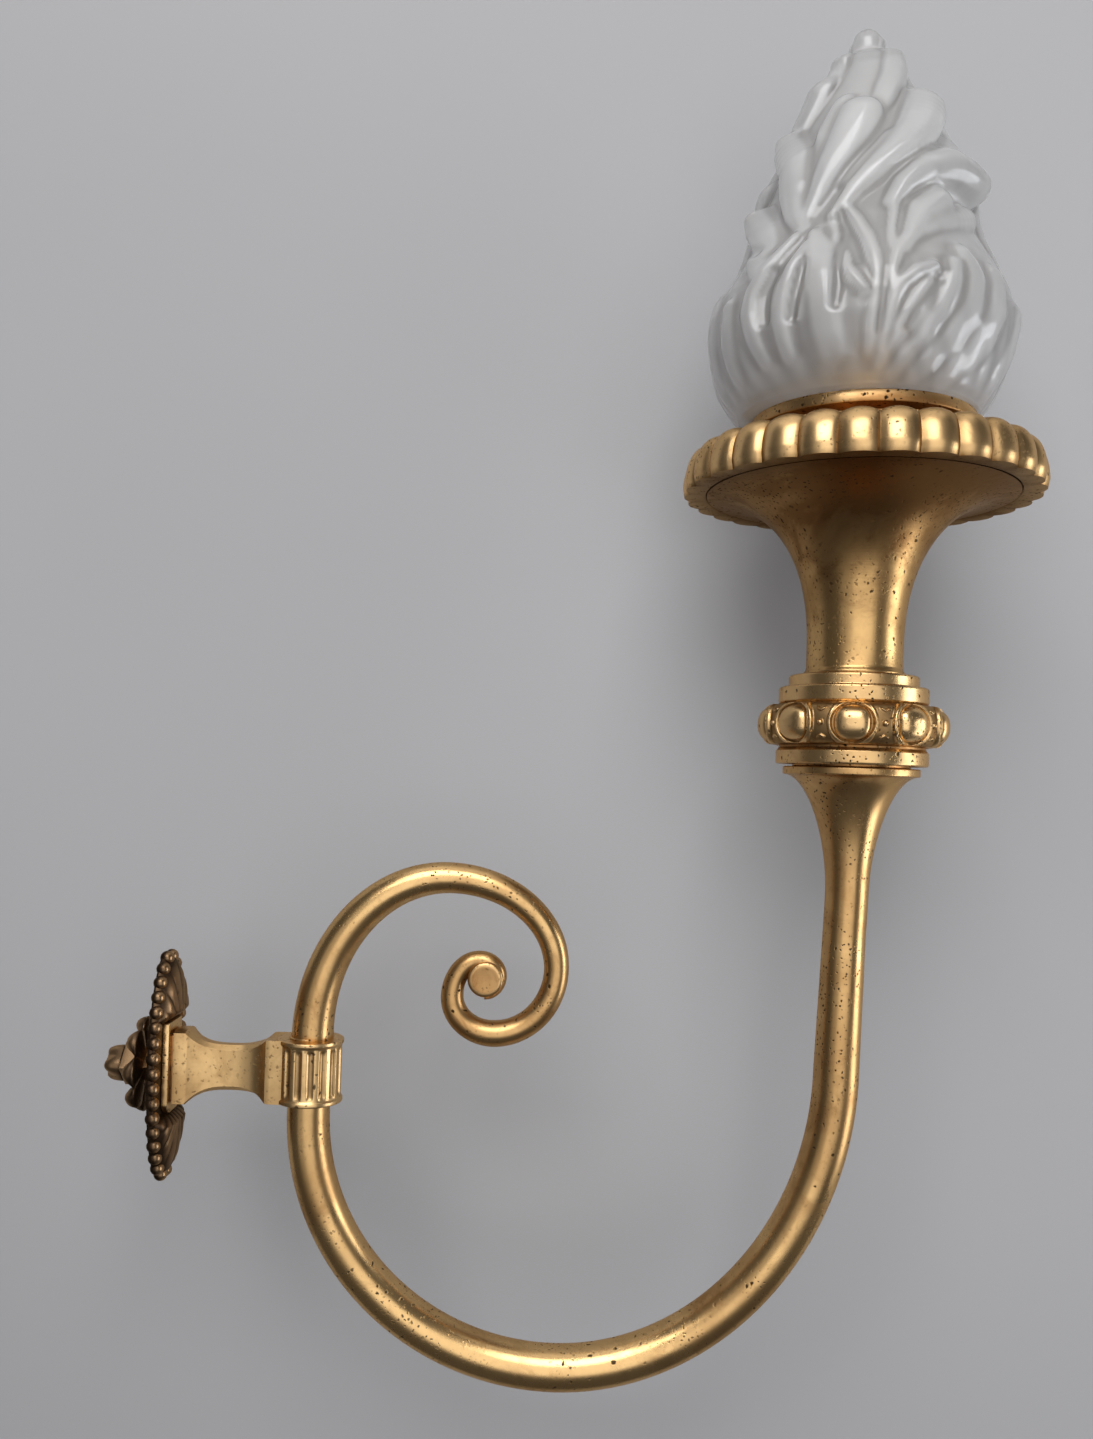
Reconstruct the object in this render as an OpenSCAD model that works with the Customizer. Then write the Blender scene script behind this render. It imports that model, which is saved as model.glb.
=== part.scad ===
// Torch sconce: an oval wall plate and a waisted bracket carry a brass tube that
// curls into a scroll on one side and sweeps up into a torch with a glass flame.
// Origin: centre of the wall plate's back face, at the wall. +X out along the
// bracket, +Z up. Millimetres.

/* [Wall plate] */
// Height of the oval plate over its beads
plate_h = 123; // [110:1:135]
// Width of the oval plate over its beads
plate_w = 52; // [46:1:60]
// Thickness of the plate's flat ground
plate_t = 4; // [3:0.5:5]
// Radius of one bead of the border
bead_r = 3.4; // [2.8:0.1:3.8]
// Number of beads round the border
bead_count = 36; // [28:1:40]
// Height of the raised mound that surrounds the seat pad
mound_t = 2.6; // [1.5:0.1:3]
// Height of the seat pad
pad_h = 48; // [44:1:54]
// Width of the seat pad
pad_w = 22; // [20:1:26]
// Thickness of the seat pad
pad_t = 3.2; // [2.5:0.1:5]

/* [Bracket] */
// Distance from the wall to the collar's axis
collar_x = 78.8; // [74:0.1:90]
// Height of the bracket's foot and head over the rounded body
foot_h = 39; // [38:0.5:46]
// Height of the bracket's flat cheek at its foot
cheek_h = 37; // [32:1:38]
// Height of the bracket's body at its waist
waist_h = 23.8; // [23:0.2:30]
// Depth of the bracket's foot, front to back
foot_d = 18; // [16:1:20]
// Depth of the bracket's waist, front to back
waist_d = 10; // [8.5:0.5:12]
// Radius of the wiring passage along the bracket
wire_r = 2.5; // [2:0.1:2.8]

/* [Fixing through the panel] */
// Thickness of the panel that the shank passes through and the rosette clamps
panel_t = 7; // [5:0.5:12]
// Side of the square shank
shank_side = 13; // [12:0.5:14]
// Radius of the threaded stud on the shank's end
stud_r = 4; // [3.5:0.1:4.5]
// Radius of the leaf rosette
rosette_r = 25; // [23:0.5:28]
// Thickness of the leaf rosette's dish
rosette_t = 4.5; // [3.5:0.5:6]
// Side of the square nut
nut_side = 16.5; // [15:0.5:18]
// Length of the square nut
nut_l = 7.5; // [6:0.5:9]
// Length of the bud that caps the stud
bud_l = 9.6; // [8:0.2:12]

/* [Arm] */
// Distance from the wall to the torch's axis
torch_x = 360.2; // [340:0.5:370]
// Radius of the tube inside the collar
tube_r = 11.2; // [11:0.1:12]
// Radius of the tube at the bottom of its bow
bow_r = 11.8; // [11:0.1:14]
// Wall of the hollow part of the tube
tube_wall = 2.2; // [1.8:0.1:3]
// Depth of the bow below the collar's straight grip
bow_depth = 130.1; // [124:0.1:136]
// Height of the right limb's curve above the bow
limb_rise = 163; // [156:1:168]
// Height at which the right limb starts to flare
flare_z = 104; // [98:1:118]
// Height of the flat flange that ends the arm
flange_z = 168.6; // [164:0.1:178]
// Radius of that flange
flange_r = 35.5; // [34:0.5:38]
// Height of the scroll's loop above the collar's straight grip
loop_rise = 85.9; // [80:0.1:90]

/* [Collar] */
// Height of the fluted collar
collar_h = 33.2; // [31:0.1:40]
// Radius of the collar's end rings
collar_r = 17.5; // [17:0.1:19]
// Number of flutes
flute_count = 16; // [12:1:20]

/* [Torch head] */
// Height of the knop's plain lower band
band_h = 10.1; // [8:0.5:12]
// Radius of that band
band_r = 39.4; // [39:0.5:44]
// Height of the egg ring
egg_h = 21; // [20:0.5:24]
// Radius of the egg ring over its eggs
egg_ring_r = 49.4; // [46:0.1:54]
// Number of eggs
egg_count = 9; // [7:1:11]
// Height of the lower of the two steps above the eggs
step_h = 9.5; // [6:0.1:11]
// Radius of the lower step
step_r = 38.7; // [37:0.1:42]
// Height of the upper step
upper_step_h = 6.3; // [5:0.1:8]
// Radius of the upper step
upper_step_r = 33.7; // [32:0.1:36]
// Radius of the trumpet's narrow neck
neck_r = 25; // [23:0.1:28]
// Radius of the trumpet's mouth
mouth_r = 80.3; // [77:0.1:86]
// Height of the trumpet
trumpet_h = 95.2; // [90:0.2:104]
// Wall of the spun trumpet
trumpet_wall = 2; // [1.5:0.1:3]
// Width of the gadrooned rim outside the trumpet's mouth
rim_w = 13.1; // [10:0.1:18]
// Height of the gadrooned rim
rim_h = 23.5; // [20:0.5:26]
// Number of gadroons
gadroon_count = 30; // [24:1:36]
// Radius of the gallery ring that holds the glass
gallery_r = 58.1; // [56:0.1:64]
// Height of the gallery ring's lip above the gadrooned rim
gallery_rise = 15.7; // [12:0.1:18]

/* [Glass flame] */
// Height of the flame above the gallery's lip
flame_h = 208; // [190:0.5:220]
// Largest radius of the flame's belly
flame_r = 79.5; // [78:0.5:88]
// Wall of the glass
glass_wall = 4; // [3:0.1:5]

/* [Lampholder and bulb] */
// Radius of the threaded tube through the head
rod_r = 5; // [4.5:0.1:6]
// Bore of the threaded tube
rod_bore_r = 3.5; // [3:0.1:3.8]
// Radius of the lampholder's skirt
holder_r = 20; // [19:0.5:22]
// Height of the lampholder
holder_h = 44; // [42:1:50]
// Radius of the bulb's screw cap
cap_r = 13; // [12.5:0.1:13.3]
// Radius of the bulb's envelope
bulb_r = 30; // [24:1:32]
// Height of the bulb above its cap
bulb_h = 82; // [72:1:90]

/* [Hidden] */
$fn = 64;

// Clearances: a fixed joint's play, a moving fit's play, the glass neck's play in its
// gallery and a small overlap for unions
snug = 0.05;
play = 0.08;
glass_play = 0.6;
lap = 1;

// Colours
GOLD = [0.72, 0.56, 0.30];
DARK = [0.38, 0.31, 0.24];
STEEL = [0.62, 0.62, 0.60];
GLASS = [0.88, 0.90, 0.92, 0.6];

// Dark gap between the arm's flange and the knop, and the heights of the head's stack
band_gap = 1.3;
band_z = flange_z + band_gap;
egg_z = band_z + band_h;
step_z = egg_z + egg_h;
foot_z = step_z + step_h + upper_step_h;
rim_z = foot_z + trumpet_h;
rim_top = rim_z + rim_h;
lip_h = 4.5;
ledge_t = 1.5;
lip_z = rim_top + gallery_rise;
ledge_z = lip_z - lip_h;
nut_z = rim_top + 2;
holder_z = nut_z + 8;
rod_bottom = flange_z - 14;
rod_top = holder_z + 5;

// How far the ring of eggs and the gadroons are turned about the torch's axis
egg_turn = -104;
gadroon_turn = 2.8;

// Lampholder and bulb
cap_l = 23;
shell_wall = 0.6;
shell_r = cap_r + play;
block_h = 8;
block_z = holder_z + 8;
shell_z = block_z + block_h;
bulb_seat = shell_z + 4;

// Bracket stations
pad_x = plate_t;
foot_x = pad_x + pad_t;
neck_gap = 1.5;
foot_block = 6;
collar_body_r = collar_r - 0.9;
ring_h = 3;
seat_r = collar_body_r + snug;
grip_z = collar_h / 2 + lap + 0.1;
wire_z = -7.9;
wire_inlet_z = -15;
wire_inlet_r = 3.5;
screw_y = 5;
screw_z = 14;
screw_r = 1.8;
stud_seat_r = 4.5;

// ---------- shared shapes ----------

// Points of an ellipse in a plane
function oval(a, b, n) = [for (i = [0 : n - 1]) [a * cos(360 * i / n), b * sin(360 * i / n)]];

// Triangles between rings of n points, and a closed end at each side
function ring_faces(rings, n) = [
    for (i = [0 : rings - 2], j = [0 : n - 1])
        each let (a = i * n + j, b = i * n + (j + 1) % n, c = a + n, d = b + n)
            [[a, c, b], [b, c, d]]];
function end_faces(rings, n) = [
    [for (j = [0 : n - 1]) j],
    [for (j = [0 : n - 1]) (rings - 1) * n + n - 1 - j]];

// ---------- arm's centreline ----------
// The tube is drawn as quarter ellipses laid end to end, each turning a right
// angle: [run along X, run along Z, radius at its end].
bow_x = collar_x + 134.4;
// straight run of tube below the grip, and the loop's start beside the collar's axis
grip_run = 6.3;
loop_x = collar_x + 0.9;
loop_r = 11;
limb_x = torch_x - 2.6;
quarters_bow = [[limb_x - bow_x, limb_rise, bow_r], [bow_x - collar_x, bow_depth, tube_r]];
quarters_scroll = [[70.1, loop_rise, 8.2], [57.9, 46.6, 6.6], [32.7, 35.2, 7],
                   [22.1, 19.5, 6], [14.6, 19.1, 5], [9.5, 8.5, 4.6], [7, 8, 4.2]];
limb_z = -grip_z - grip_run - bow_depth + limb_rise;
limb_r = 11.9;
limb_top_r = 11.2;
eye_r = 9.5;
eye_pin_r = 5.4;
eye_t = 3.4;

// A quarter turn of the path: from p, heading at h degrees, turning right by 90
// where k runs 0 to 1. A quarter that starts upright begins at its ellipse's side.
function turn(p, h, q, k) =
    let (a = 90 * k, upright = abs(cos(h)) < 0.5,
         ahead = upright ? q[1] : q[0], aside = upright ? q[0] : q[1])
    [p[0] + ahead * sin(a) * cos(h) + aside * (1 - cos(a)) * sin(h),
     p[1] + ahead * sin(a) * sin(h) - aside * (1 - cos(a)) * cos(h)];
function tangent(h, q, k) =
    let (a = 90 * k, upright = abs(cos(h)) < 0.5,
         ahead = upright ? q[1] : q[0], aside = upright ? q[0] : q[1],
         x = ahead * cos(a) * cos(h) + aside * sin(a) * sin(h),
         z = ahead * cos(a) * sin(h) - aside * sin(a) * cos(h))
    atan2(z, x);
// Stations [x, z, heading, radius] along a list of quarters
function stations(p, h, r, qs, steps, i = 0) =
    i == len(qs) ? [] :
    let (q = qs[i])
    concat([for (s = [(i == 0 ? 0 : 1) : steps[i]])
                let (k = s / steps[i], at = turn(p, h, q, k))
                [at[0], at[1], tangent(h, q, k), r + (q[2] - r) * k]],
           stations(turn(p, h, q, 1), h - 90, q[2], qs, steps, i + 1));
// One ring of points round a station
function tube_ring(s, r, n) = [
    for (j = [0 : n - 1]) let (a = 360 * j / n)
        [s[0] + r * cos(a) * sin(s[2]), r * sin(a), s[1] - r * cos(a) * cos(s[2])]];
module sweep(path, n) {
    polyhedron([for (s = path) each tube_ring(s, s[3], n)],
               concat(ring_faces(len(path), n), end_faces(len(path), n)), convexity = 10);
}

bow_path = concat(
    [[torch_x, flare_z + lap, -90, limb_top_r], [torch_x - 0.8, limb_z + 70, -91, limb_top_r],
     [limb_x + 0.5, limb_z + 20, -91, limb_r - 0.2]],
    stations([limb_x, limb_z], -90, limb_r, quarters_bow, [16, 16]),
    [[collar_x, -grip_z + lap, 90, tube_r - 0.05]]);
scroll_path = concat(
    [[loop_x, grip_z - lap, 90, loop_r]],
    stations([loop_x, grip_z], 90, loop_r, quarters_scroll,
             [12, 10, 8, 8, 6, 5, 4]));
// Centre of the scroll's eye, from where the loop ends
scroll_end = scroll_path[len(scroll_path) - 1];
eye_x = scroll_end[0] + 0.5;
eye_z = scroll_end[1] + 7.1;

// ---------- wall plate and its fixing ----------

module back_plate() {
    color(DARK) difference() {
        union() {
            rotate([90, 0, 90]) linear_extrude(plate_t)
                polygon(oval(plate_w / 2 - bead_r * 0.6, plate_h / 2 - bead_r * 0.6, 72));
            translate([plate_t - 0.5, 0, 0]) rotate([90, 0, 90]) linear_extrude(mound_t + 0.5)
                polygon(oval(pad_w / 2 + 4, pad_h / 2 + 10, 48));
            for (p = oval(plate_w / 2 - bead_r, plate_h / 2 - bead_r, bead_count))
                translate([plate_t - 0.4, p[0], p[1]]) sphere(r = bead_r);
        }
        translate([pad_x, -pad_w / 2 - snug, -pad_h / 2 - snug])
            cube([mound_t + 1, pad_w + 2 * snug, pad_h + 2 * snug]);
        diamond_bar(-1, plate_t + 2, shank_side + 2 * snug);
        translate([-1, 0, wire_inlet_z]) rotate([0, 90, 0]) cylinder(r = wire_inlet_r, h = plate_t + 2);
        for (s = [-1, 1]) translate([0, s * screw_y, screw_z]) {
            translate([-1, 0, 0]) rotate([0, 90, 0]) cylinder(r = screw_r + snug, h = plate_t + 2);
            translate([-1, 0, 0]) rotate([0, 90, 0]) cylinder(r = screw_r * 2 + snug, h = 2.8);
        }
    }
}

// A square bar along X set on its edge
module diamond_bar(x, l, side) {
    translate([x, 0, 0]) rotate([45, 0, 0]) translate([0, -side / 2, -side / 2]) cube([l, side, side]);
}

module seat_pad() {
    chamfer = 4;
    color(GOLD) difference() {
        translate([pad_x, 0, 0]) rotate([90, 0, 90]) linear_extrude(pad_t)
            polygon([[-pad_w / 2, -pad_h / 2 + chamfer], [-pad_w / 2 + chamfer, -pad_h / 2],
                     [pad_w / 2 - chamfer, -pad_h / 2], [pad_w / 2, -pad_h / 2 + chamfer],
                     [pad_w / 2, pad_h / 2], [-pad_w / 2, pad_h / 2]]);
        diamond_bar(pad_x - 1, pad_t + 2, shank_side + 2 * snug);
        translate([pad_x - 1, 0, wire_inlet_z]) rotate([0, 90, 0])
            cylinder(r = wire_inlet_r, h = pad_t + 2);
        for (s = [-1, 1]) translate([pad_x - 1, s * screw_y, screw_z]) rotate([0, 90, 0])
            cylinder(r = screw_r + snug, h = pad_t + 2);
    }
}

module plate_screws() {
    color(STEEL) for (s = [-1, 1]) translate([0, s * screw_y, screw_z]) rotate([0, 90, 0])
        difference() {
            union() {
                cylinder(r = screw_r, h = foot_x + 9);
                translate([0, 0, 0.3]) cylinder(r = screw_r * 2, h = 1.5);
            }
            translate([-screw_r * 2.2, -0.4, -1]) cube([screw_r * 4.4, 0.8, 2]);
        }
}

// The square shank, its stud into the bracket's foot and its threaded end
module wall_tie() {
    shank_l = panel_t + rosette_t - 1;
    color(GOLD) union() {
        diamond_bar(-shank_l, shank_l + foot_x, shank_side);
        translate([foot_x - lap, 0, 0]) rotate([0, 90, 0]) cylinder(r = stud_seat_r - snug, h = 9 + lap);
        translate([-shank_l - nut_l - bud_l * 0.55, 0, 0]) rotate([0, 90, 0])
            cylinder(r = stud_r, h = nut_l + bud_l * 0.55 + lap);
    }
}

// Dished rosette with a ring of round leaves, sliding on the shank
module leaf_rosette() {
    lobes = 8;
    lobe_r = 6.5;
    color(DARK) difference() {
        union() {
            translate([-panel_t, 0, 0]) rotate([0, -90, 0]) {
                rotate_extrude() polygon([[0, 0], [rosette_r - 3, 0], [rosette_r - 1.5, 1.2],
                    [rosette_r - 5, rosette_t - 1], [nut_side * 0.72, rosette_t], [0, rosette_t]]);
                for (i = [0 : lobes - 1]) rotate(360 / lobes * (i + 0.5))
                    translate([rosette_r - lobe_r, 0, 0]) intersection() {
                        sphere(r = lobe_r);
                        translate([-lobe_r, -lobe_r, 0.3]) cube(2 * lobe_r);
                    }
            }
        }
        diamond_bar(-panel_t - rosette_t * 3, rosette_t * 3 + 1, shank_side + 2 * snug);
    }
}

// Square nut set on its edge like the shank
module square_nut() {
    x0 = -panel_t - rosette_t;
    color(DARK) difference() {
        diamond_bar(x0 - nut_l, nut_l, nut_side);
        translate([x0 - nut_l - 1, 0, 0]) rotate([0, 90, 0])
            cylinder(r = stud_r + play, h = nut_l + 2);
    }
}

// Bud with leaves that covers the stud's end, turned with the nut
module leaf_bud() {
    x0 = -panel_t - rosette_t - nut_l;
    bud_r = 8.5;
    color(DARK) translate([x0, 0, 0]) rotate([0, -90, 0]) difference() {
        union() {
            rotate_extrude() polygon(concat([[0, 0]],
                [for (i = [0 : 8]) let (k = i / 8) [bud_r * cos(90 * k), bud_l * sin(90 * k)]]));
            for (i = [0 : 3]) rotate(90 * i + 45) translate([bud_r - 1.5, 0, 2.2]) sphere(r = 2);
        }
        translate([0, 0, -1]) cylinder(r = stud_r + play, h = bud_l * 0.62 + 1);
    }
}

// ---------- bracket and collar ----------

// Half sizes of the bracket's section at k from foot (0) to head (1):
// depth, cheek height and full height, all drawn in to the waist and full again
// where the flat head begins
waist_at = 0.44;
head_at = 0.78;
function drawn_in(k) = k < waist_at ? pow(1 - k / waist_at, 3)
    : pow(min(1, (k - waist_at) / (head_at - waist_at)), 2.7);
function section(k) =
    let (w = drawn_in(k), to_head = min(1, k / head_at), cheek_less = 0.1, head_less = 0.2)
    [waist_d / 2 + (foot_d / 2 * (1 + 0.25 * k) - waist_d / 2) * w,
     waist_h * 0.4 + (cheek_h / 2 * (1 - cheek_less * to_head) - waist_h * 0.4) * w,
     waist_h / 2 + (foot_h / 2 * (1 - head_less * to_head) - waist_h / 2) * w];
function bracket_ring(x, s) =
    let (inner = max(s[0] - 3.5, s[0] * 0.5))
    [for (p = [[s[0], s[1]], [inner, s[2]], [-inner, s[2]], [-s[0], s[1]],
               [-s[0], -s[1]], [-inner, -s[2]], [inner, -s[2]], [s[0], -s[1]]]) [x, p[0], p[1]]];

module bracket() {
    stations_n = 25;
    x0 = foot_x + neck_gap;
    x1 = collar_x - collar_body_r * 0.55;
    rings = concat([bracket_ring(x0, section(0))],
        [for (i = [0 : stations_n]) let (k = i / stations_n)
            bracket_ring(x0 + foot_block + (x1 - x0 - foot_block) * k, section(k))]);
    color(GOLD) difference() {
        union() {
            polyhedron([for (r = rings) each r],
                       concat(ring_faces(len(rings), 8), end_faces(len(rings), 8)), convexity = 4);
            translate([foot_x, -foot_d / 2 + 1.5, -cheek_h / 2 + 1.5])
                cube([neck_gap + lap, foot_d - 3, cheek_h - 3]);
        }
        // seat against the collar
        translate([collar_x, 0, -foot_h]) cylinder(r = seat_r, h = 2 * foot_h);
        // clearance round the collar's end rings
        for (s = [-1, 1]) translate([collar_x, 0, s * collar_h / 2 - ring_h - snug])
            cylinder(r = collar_r + snug, h = 2 * (ring_h + snug));
        // seat of the shank's stud, pilot holes of the screws
        translate([foot_x - 1, 0, 0]) rotate([0, 90, 0]) cylinder(r = stud_seat_r, h = 12);
        for (s = [-1, 1]) translate([foot_x - 1, s * screw_y, screw_z]) rotate([0, 90, 0])
            cylinder(r = screw_r + snug, h = 11);
        // wiring: a pocket behind the inlet, then a passage to the collar
        translate([foot_x - 1, 0, wire_inlet_z]) rotate([0, 90, 0]) cylinder(r = wire_inlet_r - 0.5, h = 11);
        translate([foot_x + 6, -wire_r + 0.5, wire_inlet_z]) cube([4, 2 * wire_r - 1, wire_z - wire_inlet_z]);
        translate([foot_x + 7, 0, wire_z]) rotate([0, 90, 0]) cylinder(r = wire_r, h = collar_x);
    }
}

module fluted_collar() {
    flute_r = 1.7;
    body_h = collar_h - 2 * ring_h;
    color(GOLD) difference() {
        union() {
            translate([collar_x, 0, -collar_h / 2]) rotate_extrude() polygon([
                [0, 0], [collar_r - 1, 0], [collar_r, 1], [collar_r, ring_h - 0.8],
                [collar_body_r, ring_h], [collar_body_r, ring_h + body_h],
                [collar_r, ring_h + body_h + 0.8], [collar_r, collar_h - 1],
                [collar_r - 1, collar_h], [0, collar_h]]);
        }
        translate([collar_x, 0, -collar_h / 2 - 1]) cylinder(r = tube_r + snug, h = collar_h + 2);
        for (i = [0 : flute_count - 1]) rotate_about(collar_x, 360 / flute_count * (i + 0.5))
            translate([collar_body_r + flute_r * 0.35, 0, -body_h / 2 + 1]) cylinder(r = flute_r, h = body_h - 2);
        // wiring hole on the bracket's side, grub screw hole at the back
        translate([collar_x - collar_r - 1, 0, wire_z]) rotate([0, 90, 0]) cylinder(r = wire_r, h = collar_r);
        translate([collar_x, 0, 0]) rotate([-90, 0, 0]) cylinder(r = 2 + snug, h = collar_r + 1);
    }
}

module rotate_about(x, a) {
    translate([x, 0, 0]) rotate(a) children();
}

module collar_grub_screw() {
    grub_l = collar_body_r - tube_r - 0.5;
    color(STEEL) translate([collar_x, tube_r + snug, 0]) rotate([-90, 0, 0]) difference() {
        cylinder(r = 2, h = grub_l);
        translate([-2.5, -0.4, grub_l - 1]) cube([5, 0.8, 2]);
    }
}

// ---------- arm ----------

// Height profile of the flare under the flange: a quarter ellipse
flare_r0 = 11.3;
flange_t = 4.1;
function flare(k) = [flare_r0 + (flange_r - 0.4 - flare_r0) * pow(1 - cos(90 * k), 0.88),
                     flare_z + (flange_z - flange_t - flare_z) * sin(90 * k)];

module arm() {
    sides = 20;
    bore = tube_r - tube_wall;
    color(GOLD) difference() {
        union() {
            sweep(bow_path, sides);
            sweep(scroll_path, sides);
            translate([collar_x, 0, -grip_z]) cylinder(r = tube_r, h = 2 * grip_z);
            translate([torch_x, 0, 0]) rotate_extrude() polygon(concat(
                [[0, flare_z]], [for (i = [0 : 12]) flare(i / 12)],
                [[flange_r, flange_z - flange_t], [flange_r, flange_z], [flange_r - 5, flange_z],
                 [flange_r - 5, band_z], [0, band_z]]));
        }
        // socket of the threaded tube and the hole through its floor
        translate([torch_x, 0, rod_bottom]) cylinder(r = rod_r + snug, h = 40);
        translate([torch_x, 0, rod_bottom - 6]) cylinder(r = rod_bore_r, h = 8);
        // bore of the grip and the hole where the wiring enters it
        translate([collar_x, 0, -grip_z]) cylinder(r = bore - 2, h = 2 * grip_z - 8);
        translate([collar_x - tube_r - 1, 0, wire_z]) rotate([0, 90, 0]) cylinder(r = wire_r, h = tube_r);
        // passage down the limb and round the bow
        sweep(bore_path, 10);
        // seat of the scroll's button
        translate([eye_x, 10, eye_z]) rotate([90, 0, 0]) cylinder(r = eye_pin_r + snug, h = 20);
        for (s = [-1, 1]) translate([eye_x, s * (eye_t + 5), eye_z]) rotate([90, 0, 0])
            cylinder(r = eye_r + snug, h = 10, center = true);
    }
}
bore_path = concat(
    [[torch_x, rod_bottom - 3, -90, 5.5], [torch_x, flare_z, -90, 5.5],
     [torch_x - 0.8, limb_z + 70, -91, 5.5], [limb_x + 0.5, limb_z + 20, -91, 5.5]],
    stations([limb_x, limb_z], -90, 5.5,
             [[quarters_bow[0][0], quarters_bow[0][1], 5.5], [quarters_bow[1][0], quarters_bow[1][1], 5.5]],
             [12, 12]),
    [[collar_x, -grip_z + 6, 90, 5.5]]);

// Turned button in the scroll's eye: a pin with a rounded, flat-faced head each side
module scroll_button() {
    head_t = 3.4;
    round_r = 2.8;
    color(GOLD) translate([eye_x, 0, eye_z]) rotate([90, 0, 0]) union() {
        cylinder(r = eye_pin_r, h = 2 * (eye_t + lap), center = true);
        for (s = [0, 1]) mirror([0, 0, s]) translate([0, 0, eye_t + snug]) rotate_extrude()
            polygon(concat([[0, 0], [eye_r, 0]],
                [for (i = [0 : 6]) let (a = 15 * i)
                    [eye_r - round_r + round_r * cos(a), head_t - round_r + round_r * sin(a)]],
                [[0, head_t]]));
    }
}

// ---------- torch head ----------

// Turned rings, all clamped by the threaded tube that runs through them
module turned(points) {
    translate([torch_x, 0, 0]) difference() {
        rotate_extrude() polygon(points);
        translate([0, 0, -500]) cylinder(r = rod_r + snug, h = 1500);
    }
}

module knop_band() {
    color(GOLD) turned([[0, band_z], [band_r - 1.5, band_z], [band_r, band_z + 1.5],
        [band_r, egg_z - 2.5], [band_r - 1.5, egg_z - 1.5], [band_r - 1.5, egg_z], [0, egg_z]]);
}

module egg_ring() {
    egg_r = 9.7;
    ground_r = egg_ring_r - 3;
    color(GOLD) union() {
        turned([[0, egg_z], [band_r + 1, egg_z], [ground_r - 1.5, egg_z + 2.5], [ground_r, egg_z + 6],
                [ground_r, step_z - 6], [ground_r - 1.5, step_z - 2.5], [step_r + 1.5, step_z],
                [0, step_z]]);
        for (i = [0 : egg_count - 1]) rotate_about(torch_x, 360 / egg_count * i + egg_turn)
            translate([egg_ring_r - egg_r, 0, egg_z + egg_h / 2]) sphere(r = egg_r);
        for (i = [0 : egg_count - 1]) rotate_about(torch_x, 360 / egg_count * (i + 0.5) + egg_turn)
            translate([ground_r - 0.5, 0, egg_z + egg_h / 2]) sphere(r = 2.2);
    }
}

module stepped_ring() {
    color(GOLD) turned([[0, step_z], [step_r, step_z], [step_r, step_z + step_h - 1],
        [step_r - 1, step_z + step_h], [upper_step_r, step_z + step_h], [upper_step_r, foot_z - 1],
        [upper_step_r - 1, foot_z], [0, foot_z]]);
}

// Trumpet: a straight foot, then a curve out to the mouth
bell_z = 15;
function bell(k) = [neck_r + (mouth_r - neck_r) * pow(1 - cos(90 * k), 1.12),
                    foot_z + bell_z + (trumpet_h - bell_z) * sin(90 * k)];

module trumpet_cup() {
    steps = 16;
    outer = concat([[neck_r + 1, foot_z], [neck_r + 1, foot_z + 2], [neck_r, foot_z + 4]],
                   [for (i = [0 : steps]) bell(i / steps)]);
    color(GOLD) turned(concat([[0, foot_z]], outer,
        [for (i = [steps : -1 : 0]) let (p = bell(i / steps), a = 90 * i / steps)
            [p[0] - trumpet_wall * cos(a), min(p[1] + trumpet_wall * sin(a), foot_z + trumpet_h + trumpet_wall)]],
        [[neck_r - trumpet_wall, foot_z + 3], [0, foot_z + 3]]));
}

// Gadrooned rim: a lobed ring, highest at its back, on a plain turned ring
function rim_profile(k) = [mouth_r - 1.5 + (rim_w + 1.5) * cos(90 * k), rim_h * pow(sin(90 * k), 0.9)];
module gadrooned_rim() {
    per_lobe = 6;
    n = gadroon_count * per_lobe;
    rows = 6;
    inner_r = mouth_r - 2.5;
    core_r = mouth_r - 1.5;
    bore_r = mouth_r - 8;
    // depth of the groove between lobes at angle a
    function lobe(a) = abs(sin(a * gadroon_count / 2));
    rings = [for (j = [0 : n - 1]) let (a = 360 * j / n + gadroon_turn)
        concat([[inner_r, rim_h], [inner_r, 0]],
            [for (i = [0 : rows - 1]) let (p = rim_profile(i / (rows - 1)),
                    cut = 3.2 * (1 - lobe(a)) * cos(60 * i / (rows - 1)))
                [p[0] - cut, p[1]]])];
    m = rows + 2;
    color(GOLD) difference() {
        union() {
            translate([torch_x, 0, rim_z]) polyhedron(
                [for (j = [0 : n - 1]) let (a = 360 * j / n) for (p = rings[j])
                    [p[0] * cos(a), p[0] * sin(a), p[1]]],
                [for (j = [0 : n - 1], i = [0 : m - 1])
                    each let (a = j * m + i, b = j * m + (i + 1) % m,
                              c = ((j + 1) % n) * m + i, d = ((j + 1) % n) * m + (i + 1) % m)
                        [[a, b, c], [b, d, c]]], convexity = 6);
            translate([torch_x, 0, rim_z + 0.4]) cylinder(r = core_r, h = rim_h - 0.9);
        }
        translate([torch_x, 0, rim_z - 1]) cylinder(r = bore_r, h = rim_h + 2);
        // rebate for the trumpet's edge, flush with the rim's underside
        translate([torch_x, 0, rim_z - 1]) cylinder(r = mouth_r + snug, h = trumpet_wall + snug + 1);
        translate([torch_x, 0, rim_top - 2.5]) cylinder(r = bore_r + 3, h = 4);
    }
}

// Disc that closes the rim and carries the gallery
module cover_plate() {
    color(GOLD) turned([[0, rim_top - 2.5], [mouth_r - 5 - snug, rim_top - 2.5],
                        [mouth_r - 5 - snug, rim_top], [0, rim_top]]);
}

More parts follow.
